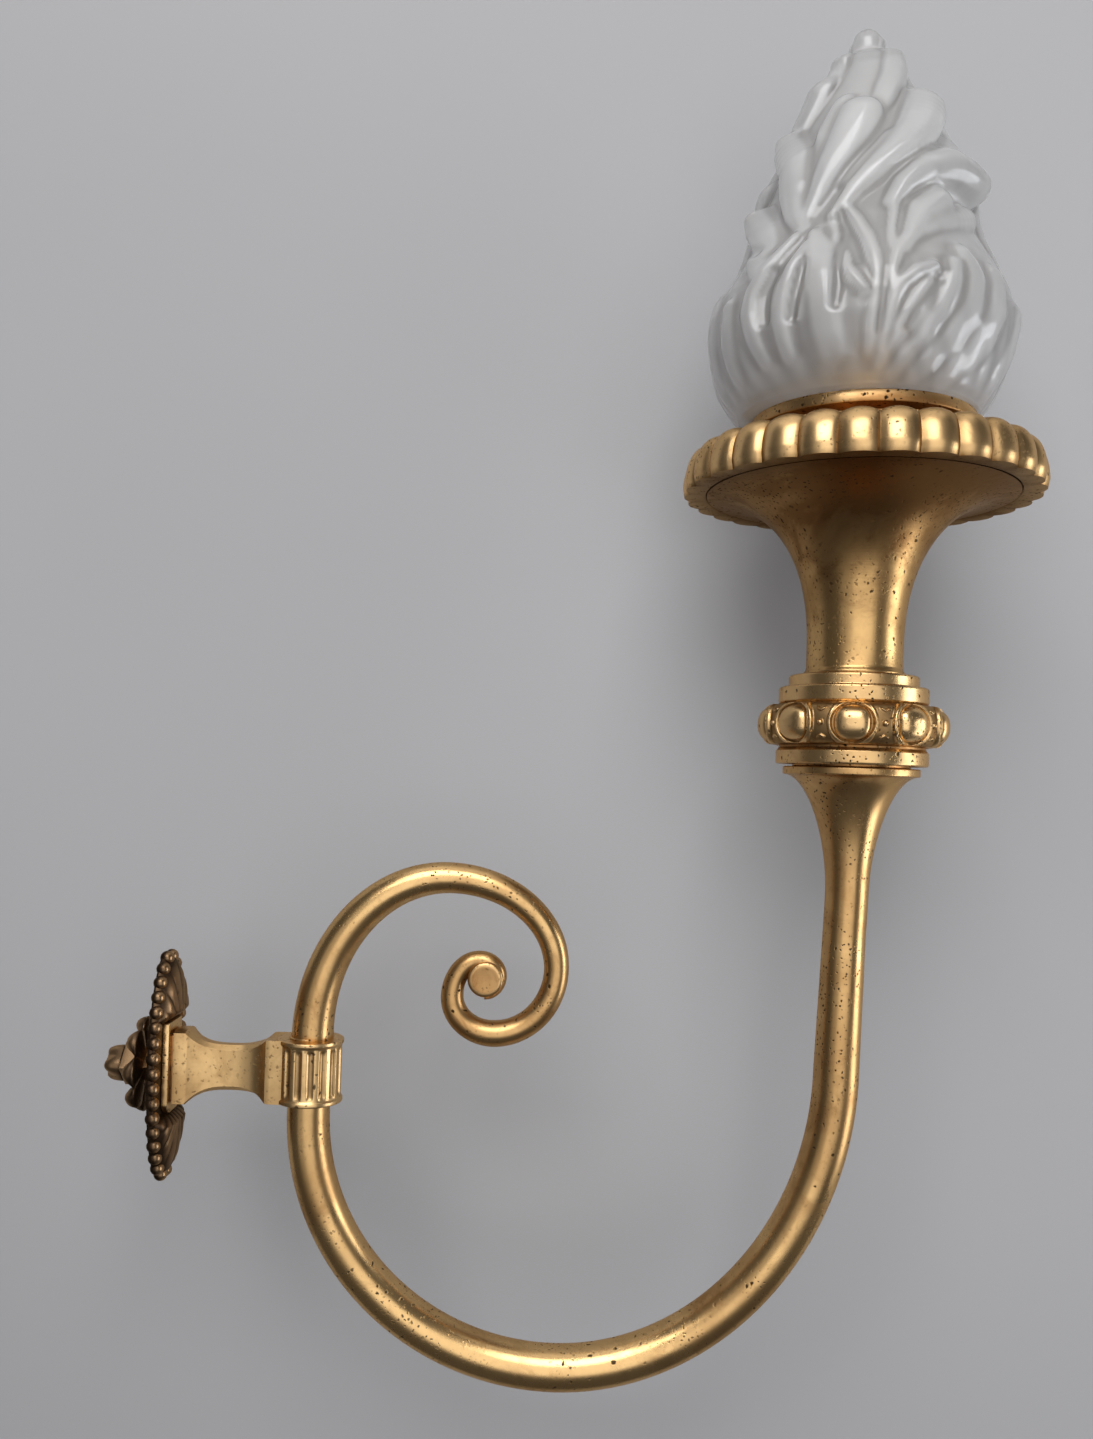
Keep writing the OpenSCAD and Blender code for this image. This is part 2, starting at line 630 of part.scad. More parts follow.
// Dished gallery whose lip holds the glass
module shade_gallery() {
    dish_r = gallery_r - 12;
    color(GOLD) turned([[0, rim_top], [dish_r, rim_top], [dish_r, ledge_z - 0.5],
        [gallery_r - 0.5, ledge_z - 0.5], [gallery_r, ledge_z], [gallery_r, lip_z],
        [gallery_r - 2, lip_z], [gallery_r - 2, ledge_z + ledge_t], [dish_r - 2, ledge_z + ledge_t],
        [dish_r - 2, rim_top + 2], [0, rim_top + 2]]);
}

module threaded_tube() {
    color(STEEL) translate([torch_x, 0, rod_bottom]) difference() {
        cylinder(r = rod_r, h = rod_top - rod_bottom);
        translate([0, 0, -1]) cylinder(r = rod_bore_r, h = 400);
    }
}

module gallery_nut() {
    color(STEEL) translate([torch_x, 0, nut_z]) difference() {
        cylinder(r = 9.5, h = holder_z - nut_z, $fn = 6);
        translate([0, 0, -1]) cylinder(r = rod_r + snug, h = 20);
    }
}

// ---------- lampholder ----------

module lampholder_cap() {
    color(GOLD) turned([[0, holder_z], [12, holder_z], [holder_r - 0.5, holder_z + 4],
        [holder_r - 0.5, block_z], [holder_r - 2.5, block_z], [holder_r - 2.5, holder_z + 5.5],
        [9, holder_z + 2.5], [0, holder_z + 2.5]]);
}

module lampholder_skirt() {
    color(GOLD) translate([torch_x, 0, 0]) rotate_extrude() polygon([
        [holder_r - 2, block_z], [holder_r, block_z], [holder_r, holder_z + holder_h - 3],
        [holder_r + 1.5, holder_z + holder_h - 1.5], [holder_r, holder_z + holder_h],
        [holder_r - 2, holder_z + holder_h]]);
}

module contact_block() {
    color("ivory") translate([torch_x, 0, block_z]) difference() {
        union() {
            cylinder(r = holder_r - 2 - snug, h = block_h);
            translate([0, 0, -2.5]) cylinder(r = holder_r - 2.5 - snug, h = 3);
        }
        translate([0, 0, -4]) cylinder(r = 2, h = block_h + 8);
        for (s = [-1, 1]) translate([s * 9, 0, -4]) cylinder(r = 1.5 + snug, h = block_h + 8);
    }
}

module screw_shell() {
    color(GOLD) translate([torch_x, 0, shell_z]) difference() {
        cylinder(r = shell_r + shell_wall, h = cap_l + 1);
        translate([0, 0, 1]) cylinder(r = shell_r, h = cap_l + 1);
        translate([0, 0, -1]) cylinder(r = 5, h = 4);
        for (s = [-1, 1]) translate([s * 9, 0, -1]) cylinder(r = 1.5 + snug, h = 4);
    }
}

module centre_contact() {
    color(GOLD) translate([torch_x, 0, shell_z]) union() {
        translate([0, 0, -4]) cylinder(r = 2 - snug, h = 4 + lap);
        cylinder(r = 4, h = 3.2);
    }
}

// The two screws that hold the shell to its block
module shell_screws() {
    color(STEEL) for (s = [-1, 1]) translate([torch_x + s * 9, 0, block_z]) union() {
        cylinder(r = 1.5, h = block_h + 1);
        translate([0, 0, block_h + 1]) cylinder(r = 2.4, h = 1);
    }
}

// ---------- bulb ----------

module bulb_cap() {
    color(STEEL) translate([torch_x, 0, bulb_seat]) rotate_extrude() polygon([
        [6, 0], [cap_r - 3, 2], [cap_r, 4], [cap_r, cap_l], [cap_r - 0.8, cap_l],
        [cap_r - 0.8, 4.4], [6, 1]]);
}

module bulb_insulator() {
    color([0.12, 0.12, 0.13]) translate([torch_x, 0, bulb_seat]) rotate_extrude()
        polygon([[0, -0.4], [3.5, -0.4], [6, 0], [6, 1], [cap_r - 4, 2.9], [0, 2.9]]);
}

// Envelope: a neck in the cap, then a shoulder and a round dome
module bulb_glass() {
    neck = cap_r - 0.8 - snug;
    centre = bulb_h - bulb_r;
    wall = 1;
    function blown(r, d) = concat(
        [for (i = [0 : 8]) let (k = i / 8)
            [neck - d + (r - d - neck + d) * (1 - cos(180 * k)) / 2, centre * k * 0.92]],
        [for (i = [1 : 12]) let (a = 90 * i / 12) [(r - d) * cos(a), centre * 0.92 + (bulb_h - d - centre * 0.92) * sin(a)]]);
    color(GLASS) translate([torch_x, 0, bulb_seat + cap_l]) rotate_extrude() polygon(concat(
        [[neck - wall, -12], [neck, -12]], blown(bulb_r, 0),
        [for (i = [19 : -1 : 0]) let (o = blown(bulb_r, wall)) o[i + 1]], [[neck - wall, 0]]));
}

// ---------- glass flame ----------

// Radius of the flame's body from the lip (0) to the tip (1): a shoulder, a belly,
// a waist and a rounded tip, as shares of flame_r
function body_r(k) = flame_r * lookup(k, [[0, 0.767], [0.02, 0.82], [0.053, 0.88], [0.1, 0.937],
    [0.15, 0.97], [0.2, 0.983], [0.24, 0.975], [0.29, 0.935], [0.34, 0.87], [0.39, 0.795],
    [0.44, 0.73], [0.485, 0.69], [0.53, 0.665], [0.58, 0.63], [0.63, 0.58], [0.68, 0.525],
    [0.73, 0.45], [0.78, 0.38], [0.83, 0.315], [0.875, 0.23], [0.91, 0.15], [0.94, 0.11],
    [0.965, 0.11], [0.985, 0.085], [1, 0.03]]);
// Main tongues of the flame, each on the front and again on the back: its height as a
// share of flame_r, then its path as [angle from the front, share of flame_h, half width
// as a share of flame_r]. It rises along the path and ends in a rounded tip.
tongues = [
    [0.101, [[-60, 0.654, 0.075], [-64, 0.721, 0.107], [-58, 0.788, 0.113], [-50, 0.865, 0.088]]],
    [0.063, [[8, 0.712, 0.075], [20, 0.779, 0.094], [40, 0.865, 0.094]]],
    [0.126, [[-28, 0.413, 0.063], [-24, 0.481, 0.088], [-18, 0.562, 0.119], [-5, 0.692, 0.138]]],
    [0.160, [[-13, 0.413, 0.063], [-4, 0.481, 0.075], [8, 0.538, 0.101], [20, 0.591, 0.119], [48, 0.716, 0.132]]],
    [0.170, [[12, 0.433, 0.063], [20, 0.490, 0.088], [33, 0.538, 0.113], [72, 0.553, 0.132]]],
    [0.107, [[15, 0.298, 0.057], [19, 0.361, 0.075], [26, 0.418, 0.101], [38, 0.457, 0.107]]],
    [0.094, [[14, 0.279, 0.057], [20, 0.317, 0.063], [30, 0.365, 0.088], [62, 0.452, 0.101]]],
    [0.082, [[24, 0.144, 0.063], [30, 0.212, 0.082], [36, 0.279, 0.094], [50, 0.375, 0.075]]],
    [0.075, [[6, 0.087, 0.057], [6, 0.240, 0.063], [4, 0.298, 0.063], [-9, 0.404, 0.063], [-14, 0.438, 0.057]]],
    [0.082, [[-10, 0.077, 0.082], [-13, 0.202, 0.107], [-17, 0.264, 0.101], [-23, 0.375, 0.063]]],
    [0.082, [[-45, 0.087, 0.075], [-43, 0.240, 0.088], [-37, 0.298, 0.082], [-23, 0.394, 0.063]]],
    [0.157, [[-38, 0.288, 0.094], [-44, 0.346, 0.119], [-60, 0.471, 0.113]]],
    [0.140, [[-27, 0.394, 0.063], [-34, 0.452, 0.101], [-39, 0.519, 0.119], [-44, 0.591, 0.119], [-58, 0.668, 0.107]]],
    [0.063, [[42, 0.038, 0.082], [50, 0.125, 0.119], [57, 0.202, 0.138], [56, 0.303, 0.088]]],
    [0.057, [[-60, 0.077, 0.082], [-56, 0.250, 0.088]]],
    [0.101, [[-86, 0.288, 0.094], [-92, 0.404, 0.126], [-82, 0.587, 0.107]]],
    [0.101, [[-84, 0.558, 0.082], [-92, 0.654, 0.113], [-80, 0.798, 0.088]]]];
tongue_steps = 4;
front_angle = -104;
// Every station of every tongue: [angle, share of flame_h, half width, height]
tongue_stations = [
    for (t = tongues, i = [0 : len(t[1]) - 2], s = [1 : tongue_steps])
        let (p = t[1][i] + (t[1][i + 1] - t[1][i]) * s / tongue_steps,
             along = (i + s / tongue_steps) / (len(t[1]) - 1))
            [p[0], p[1], p[2] * flame_r, t[0] * flame_r * (0.3 + 0.7 * pow(along, 0.8))]];
function wrapped(a) = a - 360 * floor((a + 180) / 360);
// How far the highest tongue stands off the body at angle a and share k
function tongue(a, k) =
    let (r = body_r(k))
    max([0, for (s = tongue_stations, turned_by = [0, 180])
        let (up = (k - s[1]) * flame_h)
        if (abs(up) < s[2])
            let (side = wrapped(a - front_angle - s[0] - turned_by) * PI / 180 * r,
                 near = 1 - (side * side + up * up) / (s[2] * s[2]))
            if (near > 0) s[3] * pow(near, 0.66)]);
// Radius of the hollow inside, clear of the drift
function hollow_r(k) = body_r(k) - glass_wall - 3.5 - 3 * k;
// Sideways drift of the flame's axis
function drift(k) = [-3.5 * min(1, k / 0.12) - 1.5 * k * k, 3 * sin(200 * k)];

module flame_shade() {
    columns = 80;
    rows = 50;
    neck_r_out = gallery_r - 2 - glass_play;
    neck_bore = neck_r_out - glass_wall;
    seat_z = ledge_z + ledge_t + snug;
    base_z = lip_z + 0.6;
    height = flame_h;
    levels = [for (i = [0 : rows]) 1 - pow(1 - i / rows, 1.15)];
    cavity_top = 0.86;
    color(GLASS) translate([torch_x, 0, 0]) difference() {
        union() {
            polyhedron(
                [for (k = levels, j = [0 : columns - 1])
                    let (a = 360 * j / columns, r = body_r(k) + tongue(a, k), d = drift(k))
                    [d[0] + r * cos(a), d[1] + r * sin(a), base_z + (height - 0.6) * k]],
                concat(ring_faces(rows + 1, columns), end_faces(rows + 1, columns)), convexity = 8);
            translate([0, 0, seat_z]) cylinder(r = neck_r_out, h = base_z + lap - seat_z);
        }
        rotate_extrude() polygon(concat(
            [[0, seat_z - 1], [neck_bore, seat_z - 1], [neck_bore, base_z + 3]],
            [for (i = [1 : 16]) let (k = 0.05 + (cavity_top - 0.05) * i / 16)
                [hollow_r(k), base_z + height * k]],
            [[0, base_z + height * (cavity_top + 0.01)]]));
    }
}

back_plate();
seat_pad();
plate_screws();
bracket();
fluted_collar();
collar_grub_screw();
wall_tie();
leaf_rosette();
square_nut();
leaf_bud();
arm();
scroll_button();
knop_band();
egg_ring();
stepped_ring();
trumpet_cup();
gadrooned_rim();
cover_plate();
shade_gallery();
threaded_tube();
gallery_nut();
lampholder_cap();
lampholder_skirt();
contact_block();
screw_shell();
centre_contact();
shell_screws();
bulb_cap();
bulb_insulator();
bulb_glass();
flame_shade();
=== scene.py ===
# %% [markdown]
# # Torch sconce
# A wall light in aged brass. An oval beaded plate carries a waisted bracket and a fluted
# collar; the collar grips one long tube that curls into a scroll on one side and sweeps
# round and up on the other. On top stand a turned knop with a ring of eggs, a trumpet
# with a gadrooned rim and a frosted glass flame.
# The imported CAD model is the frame: every piece here is made in its millimetres and rides
# on one of its bodies.

# %% The frame
import math
import random

import bmesh
import bpy
import numpy as np
from mathutils import Matrix, Vector


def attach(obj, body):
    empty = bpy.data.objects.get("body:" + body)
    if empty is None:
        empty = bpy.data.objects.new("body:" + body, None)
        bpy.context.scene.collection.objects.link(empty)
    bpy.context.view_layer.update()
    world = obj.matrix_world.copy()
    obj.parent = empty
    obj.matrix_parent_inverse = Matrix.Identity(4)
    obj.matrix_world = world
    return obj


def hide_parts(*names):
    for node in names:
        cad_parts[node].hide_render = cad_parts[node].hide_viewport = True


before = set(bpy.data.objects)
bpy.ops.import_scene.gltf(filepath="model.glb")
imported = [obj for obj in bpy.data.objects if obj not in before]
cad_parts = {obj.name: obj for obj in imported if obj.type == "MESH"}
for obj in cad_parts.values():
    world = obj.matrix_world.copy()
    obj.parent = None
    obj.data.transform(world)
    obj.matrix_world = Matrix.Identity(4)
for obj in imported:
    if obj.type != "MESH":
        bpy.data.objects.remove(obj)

random.seed(7)
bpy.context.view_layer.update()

# %% [markdown]
# ## Camera
# The photograph is taken level from straight in front, a little nearer the scroll than
# the torch, and the light hangs 1.85 degrees clockwise in it. A camera could be aimed with
# a Track To constraint; here its place, roll and vertical shift come from fitting the
# tube's centreline, so they are written down as numbers.

# %% Camera
camera = bpy.data.objects.new("camera", bpy.data.cameras.new("camera"))
bpy.context.scene.collection.objects.link(camera)
camera.location = (0.1991, -0.636, 0.1596)
camera.rotation_euler = (Matrix.Rotation(math.radians(90), 3, "X")
                         @ Matrix.Rotation(math.radians(1.85), 3, "Z")).to_euler()
camera.data.lens = 30.02
camera.data.shift_y = 0.0386
camera.data.clip_start = 0.01
bpy.context.scene.camera = camera
print("camera", tuple(camera.location))

# %% [markdown]
# ## Shader maths as expressions
# A material is a graph of nodes. Wired by hand, a sum of three masks is already a dozen
# lines, so a small class holds one socket and turns Python's own signs into Math nodes.
# Colours never go through Math nodes, which would make them grey: Mix nodes blend them,
# made by the same `make` as every other kind of node.

# %% A socket with operators
class Wire:
    """One output socket of a material, which can be added, multiplied and fed on."""

    def __init__(self, tree, socket):
        self.tree = tree
        self.socket = socket

    def make(self, kind, settings=None, out=0, **sockets):
        """Adds a node: its settings first, then values or wires into its sockets."""
        node = self.tree.nodes.new(kind)
        for name, value in (settings or {}).items():
            setattr(node, name, value)
        for name, value in sockets.items():
            place = int(name[1:]) if name[0] == "i" and name[1:].isdigit() else name.replace("_", " ")
            if isinstance(value, Wire):
                self.tree.links.new(value.socket, node.inputs[place])
            else:
                node.inputs[place].default_value = value
        return Wire(self.tree, node.outputs[out])

    def maths(self, operation, first, second=0.0):
        return self.make("ShaderNodeMath", {"operation": operation}, i0=first, i1=second)

    def __add__(self, other):
        return self.maths("ADD", self, other)

    def __sub__(self, other):
        return self.maths("SUBTRACT", self, other)

    def __rsub__(self, other):
        return self.maths("SUBTRACT", other, self)

    def __mul__(self, other):
        return self.maths("MULTIPLY", self, other)

    __radd__ = __add__
    __rmul__ = __mul__

    def band(self, low, high):
        """0 below low, 1 above high and a smooth step between."""
        return self.make("ShaderNodeMapRange", {"interpolation_type": "SMOOTHSTEP"},
                         Value=self, From_Min=low, From_Max=high)

    def noise(self, scale, detail=3.0, rough=0.5, stretch=(1, 1, 1), twist=0.0):
        """Noise over this wire's place, drawn out along an axis by stretch."""
        place = self.make("ShaderNodeVectorMath", {"operation": "MULTIPLY"}, i0=self, i1=stretch)
        return self.make("ShaderNodeTexNoise", Vector=place, Scale=scale, Detail=detail,
                         Roughness=rough, Distortion=twist)

    def mix(self, first, second):
        """The second colour where this mask is 1, the first where it is 0."""
        return self.make("ShaderNodeMix", {"data_type": "RGBA"}, out=2, i0=self, i6=first, i7=second)


def blank(name, **constants):
    """A new material: its place wire, its shader node, and constants set on the shader."""
    material = bpy.data.materials.new(name)
    material.use_nodes = True
    tree = material.node_tree
    shader = tree.nodes["Principled BSDF"]
    for key, value in constants.items():
        shader.inputs[key.replace("_", " ")].default_value = value
    coordinates = tree.nodes.new("ShaderNodeTexCoord")
    return material, Wire(tree, coordinates.outputs["Object"]), shader


def plug(wire, shader, socket):
    wire.tree.links.new(wire.socket, shader.inputs[socket])


def dent(wire, shader, height, depth):
    """Bumps the surface by a height mask; depth is in metres."""
    plug(wire.make("ShaderNodeBump", Height=height, Distance=depth, Strength=1.0), shader, "Normal")


# %% [markdown]
# ## Aged brass
# The real brass is polished but old: gold where it was rubbed, brown in broad clouds and
# in the hollows, with fine scratches and many small dark casting pits. One flat metal
# colour would look like plastic film. Clouds and pits come from noise over the object's
# own coordinates. The hollows, grooves and undersides are darkened by a `shade_and_patina`
# value that each mesh below stores at its vertices, because no texture can know where a
# carved hollow is: painted shade there, together with the brown patina that gathers there.

# %% Brass
def brass(name, gold, brown, cloud=0.5, pits=0.5, shade_and_patina=0.0, turning=0.0, gloss=0.22, dents=0.2):
    material, place, shader = blank(name, Metallic=1.0, Specular_Tint=(0.86, 0.75, 0.62, 1))
    patches = place.noise(10, 5, 0.62, twist=0.5).band(0.38, 0.66)
    stains = place.noise(42, 5, 0.7, twist=0.7).band(0.48, 0.70)
    freckles = place.noise(210, 3, 0.7).band(0.54, 0.72)
    grain = place.noise(420, 2)
    crowd = place.noise(24, 2).band(0.40, 0.66)
    swirl = place.make("ShaderNodeTexNoise", out=1, Vector=place, Scale=240.0, Detail=2.0)
    bent = place.make("ShaderNodeVectorMath", {"operation": "MULTIPLY_ADD"},
                      i0=swirl, i1=(0.004, 0.004, 0.004), i2=place)
    small_cell = place.make("ShaderNodeTexVoronoi", Vector=bent, Scale=400.0)
    small_pit = (1 - small_cell.band(0.14, 0.30)) * crowd
    large_pit = 1 - place.make("ShaderNodeTexVoronoi", Vector=bent, Scale=180.0).band(0.10, 0.21)
    holes = place.maths("MAXIMUM", small_pit, large_pit * place.noise(15, 2).band(0.44, 0.56))
    # Painted shade in hollows, grooves and undersides, with their patina, as stored on the mesh.
    hollow_shade = place.make("ShaderNodeAttribute", {"attribute_name": "shade_and_patina"}, out=2)
    scratch = place.noise(90, 2, 0.4, stretch=(1, 1, 0.06)).band(0.58, 0.66)
    # Brown from patina clouds, stains and freckles, and from the painted shade in the hollows.
    age_and_painted_shade = patches * cloud + stains * cloud * 0.55 + freckles * 0.10 + hollow_shade * shade_and_patina
    colour = place.maths("MINIMUM", age_and_painted_shade, 1.0).mix((*gold, 1), (*brown, 1))
    colour = (holes * pits).mix(colour, (0.02, 0.011, 0.006, 1))
    plug(colour, shader, "Base Color")
    plug(gloss + patches * 0.08 + stains * 0.07 + holes * 0.3 + hollow_shade * shade_and_patina * 0.15
         - scratch * 0.03, shader, "Roughness")
    lines = place.noise(1, 1, stretch=(3, 3, 1100)) * turning
    broad = place.noise(26, 2) * dents
    dent(place, shader, grain * 0.015 + scratch * 0.03 + lines - holes * pits * 0.25 + broad, 0.0004)
    return material


GOLD, BROWN = (0.72, 0.465, 0.205), (0.33, 0.17, 0.062)
tube_brass = brass("tube_brass", GOLD, BROWN, cloud=0.6, pits=0.9, gloss=0.25, dents=0.15)
spun_brass = brass("spun_brass", (0.68, 0.43, 0.18), (0.20, 0.10, 0.036), cloud=0.55, pits=0.8,
                   shade_and_patina=0.8, turning=0.06, gloss=0.26, dents=0.2)
turned_brass = brass("turned_brass", (0.78, 0.515, 0.24), BROWN, cloud=0.4, pits=0.95, shade_and_patina=0.6,
                     turning=0.08, gloss=0.24, dents=0.1)
cast_brass = brass("cast_brass", (0.80, 0.53, 0.25), (0.17, 0.085, 0.028), cloud=0.3, pits=0.8,
                   shade_and_patina=0.8, gloss=0.26, dents=0.2)
bracket_brass = brass("bracket_brass", (0.70, 0.46, 0.21), BROWN, cloud=0.45, pits=0.4, gloss=0.3,
                      dents=0.4)
dark_brass = brass("dark_brass", (0.42, 0.26, 0.135), (0.05, 0.03, 0.018), cloud=0.45, pits=0.6,
                   shade_and_patina=0.9, gloss=0.27, dents=0.3)
print("brasses", [m.name for m in bpy.data.materials])

# %% [markdown]
# ## Frosted glass
# The flame is blown into a mould and etched: milky grey, smooth on the folds, with light
# scattered through it. Clear refraction through two walls would need many samples and
# goes black in a short render; a rough shader that lets most light through, under a thin
# smooth coat, gives the same milky depth. The folds get a painted highlight at their crests
# and painted shade in the creases, from the same `shade_and_patina` value as the brass, and
# painted shade darkens the glass towards its bottom.

# %% Glass, steel, ceramic
def frosted():
    material, place, shader = blank("frosted_glass", IOR=1.5, Transmission_Weight=0.78, Coat_Weight=0.8,
                                    Coat_Roughness=0.13)
    mist = place.noise(22, 4)
    etch = place.noise(900, 2)
    # Painted highlight on the crests of the folds and painted shade in their creases.
    hollow_shade = place.make("ShaderNodeAttribute", {"attribute_name": "shade_and_patina"}, out=2)
    # Painted shade: the glass darkens towards its bottom.
    low = place.make("ShaderNodeSeparateXYZ", i0=place, out=2).band(0.43, 0.36)
    shade = place.maths("MINIMUM", hollow_shade * 0.75 + low * 0.12 + mist * 0.12, 1.0)
    plug(shade.mix((1.0, 0.995, 0.99, 1), (0.44, 0.42, 0.405, 1)), shader, "Base Color")
    plug(0.35 + mist * 0.12 + etch * 0.04, shader, "Roughness")
    dent(place, shader, etch * 0.15 + mist * 0.4, 0.0003)
    return material


def plain_finish(name, colour, other, metallic, rough, scale, depth, **constants):
    """A quiet finish for the inner parts: two close tones in small clouds and a fine bump."""
    material, place, shader = blank(name, Metallic=metallic, **constants)
    mottle = place.noise(scale, 4)
    plug(mottle.band(0.3, 0.7).mix((*colour, 1), (*other, 1)), shader, "Base Color")
    plug(mottle * 0.2 + rough, shader, "Roughness")
    dent(place, shader, place.noise(scale * 12, 2), depth)
    return material


glass = frosted()
steel = plain_finish("bright_steel", (0.55, 0.55, 0.54), (0.36, 0.35, 0.34), 1.0, 0.25, 90, 0.00005)
ceramic = plain_finish("glazed_ceramic", (0.80, 0.77, 0.70), (0.68, 0.64, 0.56), 0.0, 0.2, 60, 0.00004)
black = plain_finish("black_glass", (0.015, 0.015, 0.017), (0.03, 0.03, 0.032), 0.0, 0.15, 70, 0.00003)
bulb = plain_finish("bulb_opal", (0.86, 0.86, 0.84), (0.78, 0.77, 0.74), 0.0, 0.25, 50, 0.00003,
                    Transmission_Weight=0.25)

# %% [markdown]
# ## Making meshes from rings
# Almost every piece of this light is a stack of rings: turned work is rings round an axis,
# the tube is rings along a path, and carved work is rings whose radius changes with the
# angle. So one grid of faces serves them all. Modifiers such as Screw or Curve bevel make
# the plain ones too, but not the carved ones, and this way all take the same finish.

# %% Rings to meshes
MM = 0.001
TORCH_X = 360.2                  # the torch's upright axis
FRONT = math.radians(-104)       # the side of the torch that faces the camera
BORE_R = 6                       # the rings of the torch are threaded on one tube


def grid_faces(rows, columns, closed=False):
    """Quads between rings of points; closed joins the last ring to the first."""
    faces = []
    for i in range(rows if closed else rows - 1):
        a, b = i * columns, (i + 1) % rows * columns
        for j in range(columns):
            k = (j + 1) % columns
            faces.append((a + j, a + k, b + k, b + j))
    return faces


def piece(name, points, faces, body, material, nodes=(), sharp=35, shade_and_patina=None):
    """A mesh in millimetres as an object that rides on a body and stands for CAD nodes."""
    mesh = bpy.data.meshes.new(name)
    mesh.from_pydata((np.asarray(points, float) * MM).tolist(), [], faces)
    work = bmesh.new()
    work.from_mesh(mesh)
    bmesh.ops.recalc_face_normals(work, faces=work.faces)
    work.to_mesh(mesh)
    work.free()
    mesh.shade_smooth()
    mesh.set_sharp_from_angle(angle=math.radians(sharp))
    # Painted shade, with patina on the brass, kept as a value at each vertex.
    if shade_and_patina is not None:
        values = mesh.attributes.new("shade_and_patina", "FLOAT", "POINT")
        values.data.foreach_set("value", np.clip(shade_and_patina, 0, 1).astype(np.float32).ravel())
    mesh.materials.append(material)
    thing = bpy.data.objects.new(name, mesh)
    bpy.context.scene.collection.objects.link(thing)
    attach(thing, body)
    if nodes:
        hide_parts(*nodes)
    print(name, len(mesh.vertices), "points")
    return thing


def capped(rows, columns):
    """The faces of a tube of rings with both ends closed."""
    last = (rows - 1) * columns
    return (grid_faces(rows, columns)
            + [tuple(range(columns))[::-1], tuple(range(last, last + columns))])


def softened(profile, size, steps=4, closed=False):
    """A profile whose corners are turned into small curves."""
    made, n = [], len(profile)
    for i, p in enumerate(profile):
        p = Vector(p)
        if not closed and i in (0, n - 1):
            made.append(tuple(p))
            continue
        before, after = Vector(profile[i - 1]) - p, Vector(profile[(i + 1) % n]) - p
        if before.length < 1e-6 or after.length < 1e-6 or before.angle(after) > math.radians(165):
            made.append(tuple(p))
            continue
        a = p + before.normalized() * min(size, before.length * 0.45)
        b = p + after.normalized() * min(size, after.length * 0.45)
        made += [tuple(a.lerp(p, k / steps).lerp(p.lerp(b, k / steps), k / steps))
                 for k in range(steps + 1)]
    return made


def lathe(profile, columns):
    """Rings round the torch's axis from (radius, height)."""
    angle = np.linspace(0, 2 * math.pi, columns, endpoint=False)
    radius = np.array([p[0] for p in profile])[:, None] * np.ones(columns)
    height = np.array([p[1] for p in profile])[:, None] * np.ones(columns)
    return np.stack([TORCH_X + radius * np.cos(angle), radius * np.sin(angle), height], -1)


def turned(name, profile, material, nodes, columns=128, sharp=35, shade_and_patina=None):
    """A ring turned from a closed profile."""
    rings = lathe(profile, columns)
    shade = None if shade_and_patina is None else np.repeat([shade_and_patina(*p) for p in profile], columns)
    return piece(name, rings.reshape(-1, 3), grid_faces(len(profile), columns, closed=True),
                 "fixed", material, nodes, sharp, shade)


# %% [markdown]
# ## The arm
# One brass tube was bent round two formers and its top end was spun out into a wide foot
# for the knop. Its centreline is drawn as quarter ellipses laid end to end, the way a
# bender would mark it out, and a ring is set square to the path at every station. A Curve
# object with a bevel would twist where the path closes up in the scroll; rings in the
# path's own plane never do.

# %% Centreline
COLLAR_X, GRIP_Z, LIMB_X, LIMB_Z = 78.8, 17.7, 357.6, 8.9
FLANGE_Z, FLANGE_R, FLANGE_T, FLARE_Z = 168.6, 35.5, 4.1, 104.0


def quarter_path(start, heading, radius, quarters, steps=26):
    """Stations (x, z, heading, radius) along quarter ellipses that all turn right."""
    path, (x, z) = [(*start, heading, radius)], start
    for run_x, run_z, end_radius in quarters:
        upright = abs(math.cos(math.radians(heading))) < 0.5
        ahead, aside = (run_z, run_x) if upright else (run_x, run_z)
        c, s = math.cos(math.radians(heading)), math.sin(math.radians(heading))
        for i in range(1, steps + 1):
            turn = math.radians(90 * i / steps)
            along, across = ahead * math.sin(turn), aside * (1 - math.cos(turn))
            going = (ahead * math.cos(turn), aside * math.sin(turn))
            path.append((x + along * c + across * s, z + along * s - across * c,
                         math.degrees(math.atan2(going[0] * s - going[1] * c,
                                                 going[0] * c + going[1] * s)),
                         radius + (end_radius - radius) * i / steps))
        x, z, heading, radius = path[-1][0], path[-1][1], heading - 90, end_radius
    return path


def tube(path, columns):
    """Rings square to the path, and the faces of the capped tube."""
    angle = np.linspace(0, 2 * math.pi, columns, endpoint=False)
    rings = []
    for x, z, heading, radius in path:
        h = math.radians(heading)
        rings.append(np.stack([x + radius * np.cos(angle) * math.sin(h), radius * np.sin(angle),
                               z - radius * np.cos(angle) * math.cos(h)], -1))
    return np.concatenate(rings), capped(len(path), columns)


# %% The tube, its spun top and its scroll
def flare(k):
    a = math.radians(90 * k)
    return (11.3 + (FLANGE_R - 0.4 - 11.3) * (1 - math.cos(a)) ** 0.88,
            FLARE_Z + (FLANGE_Z - FLANGE_T - FLARE_Z) * math.sin(a))


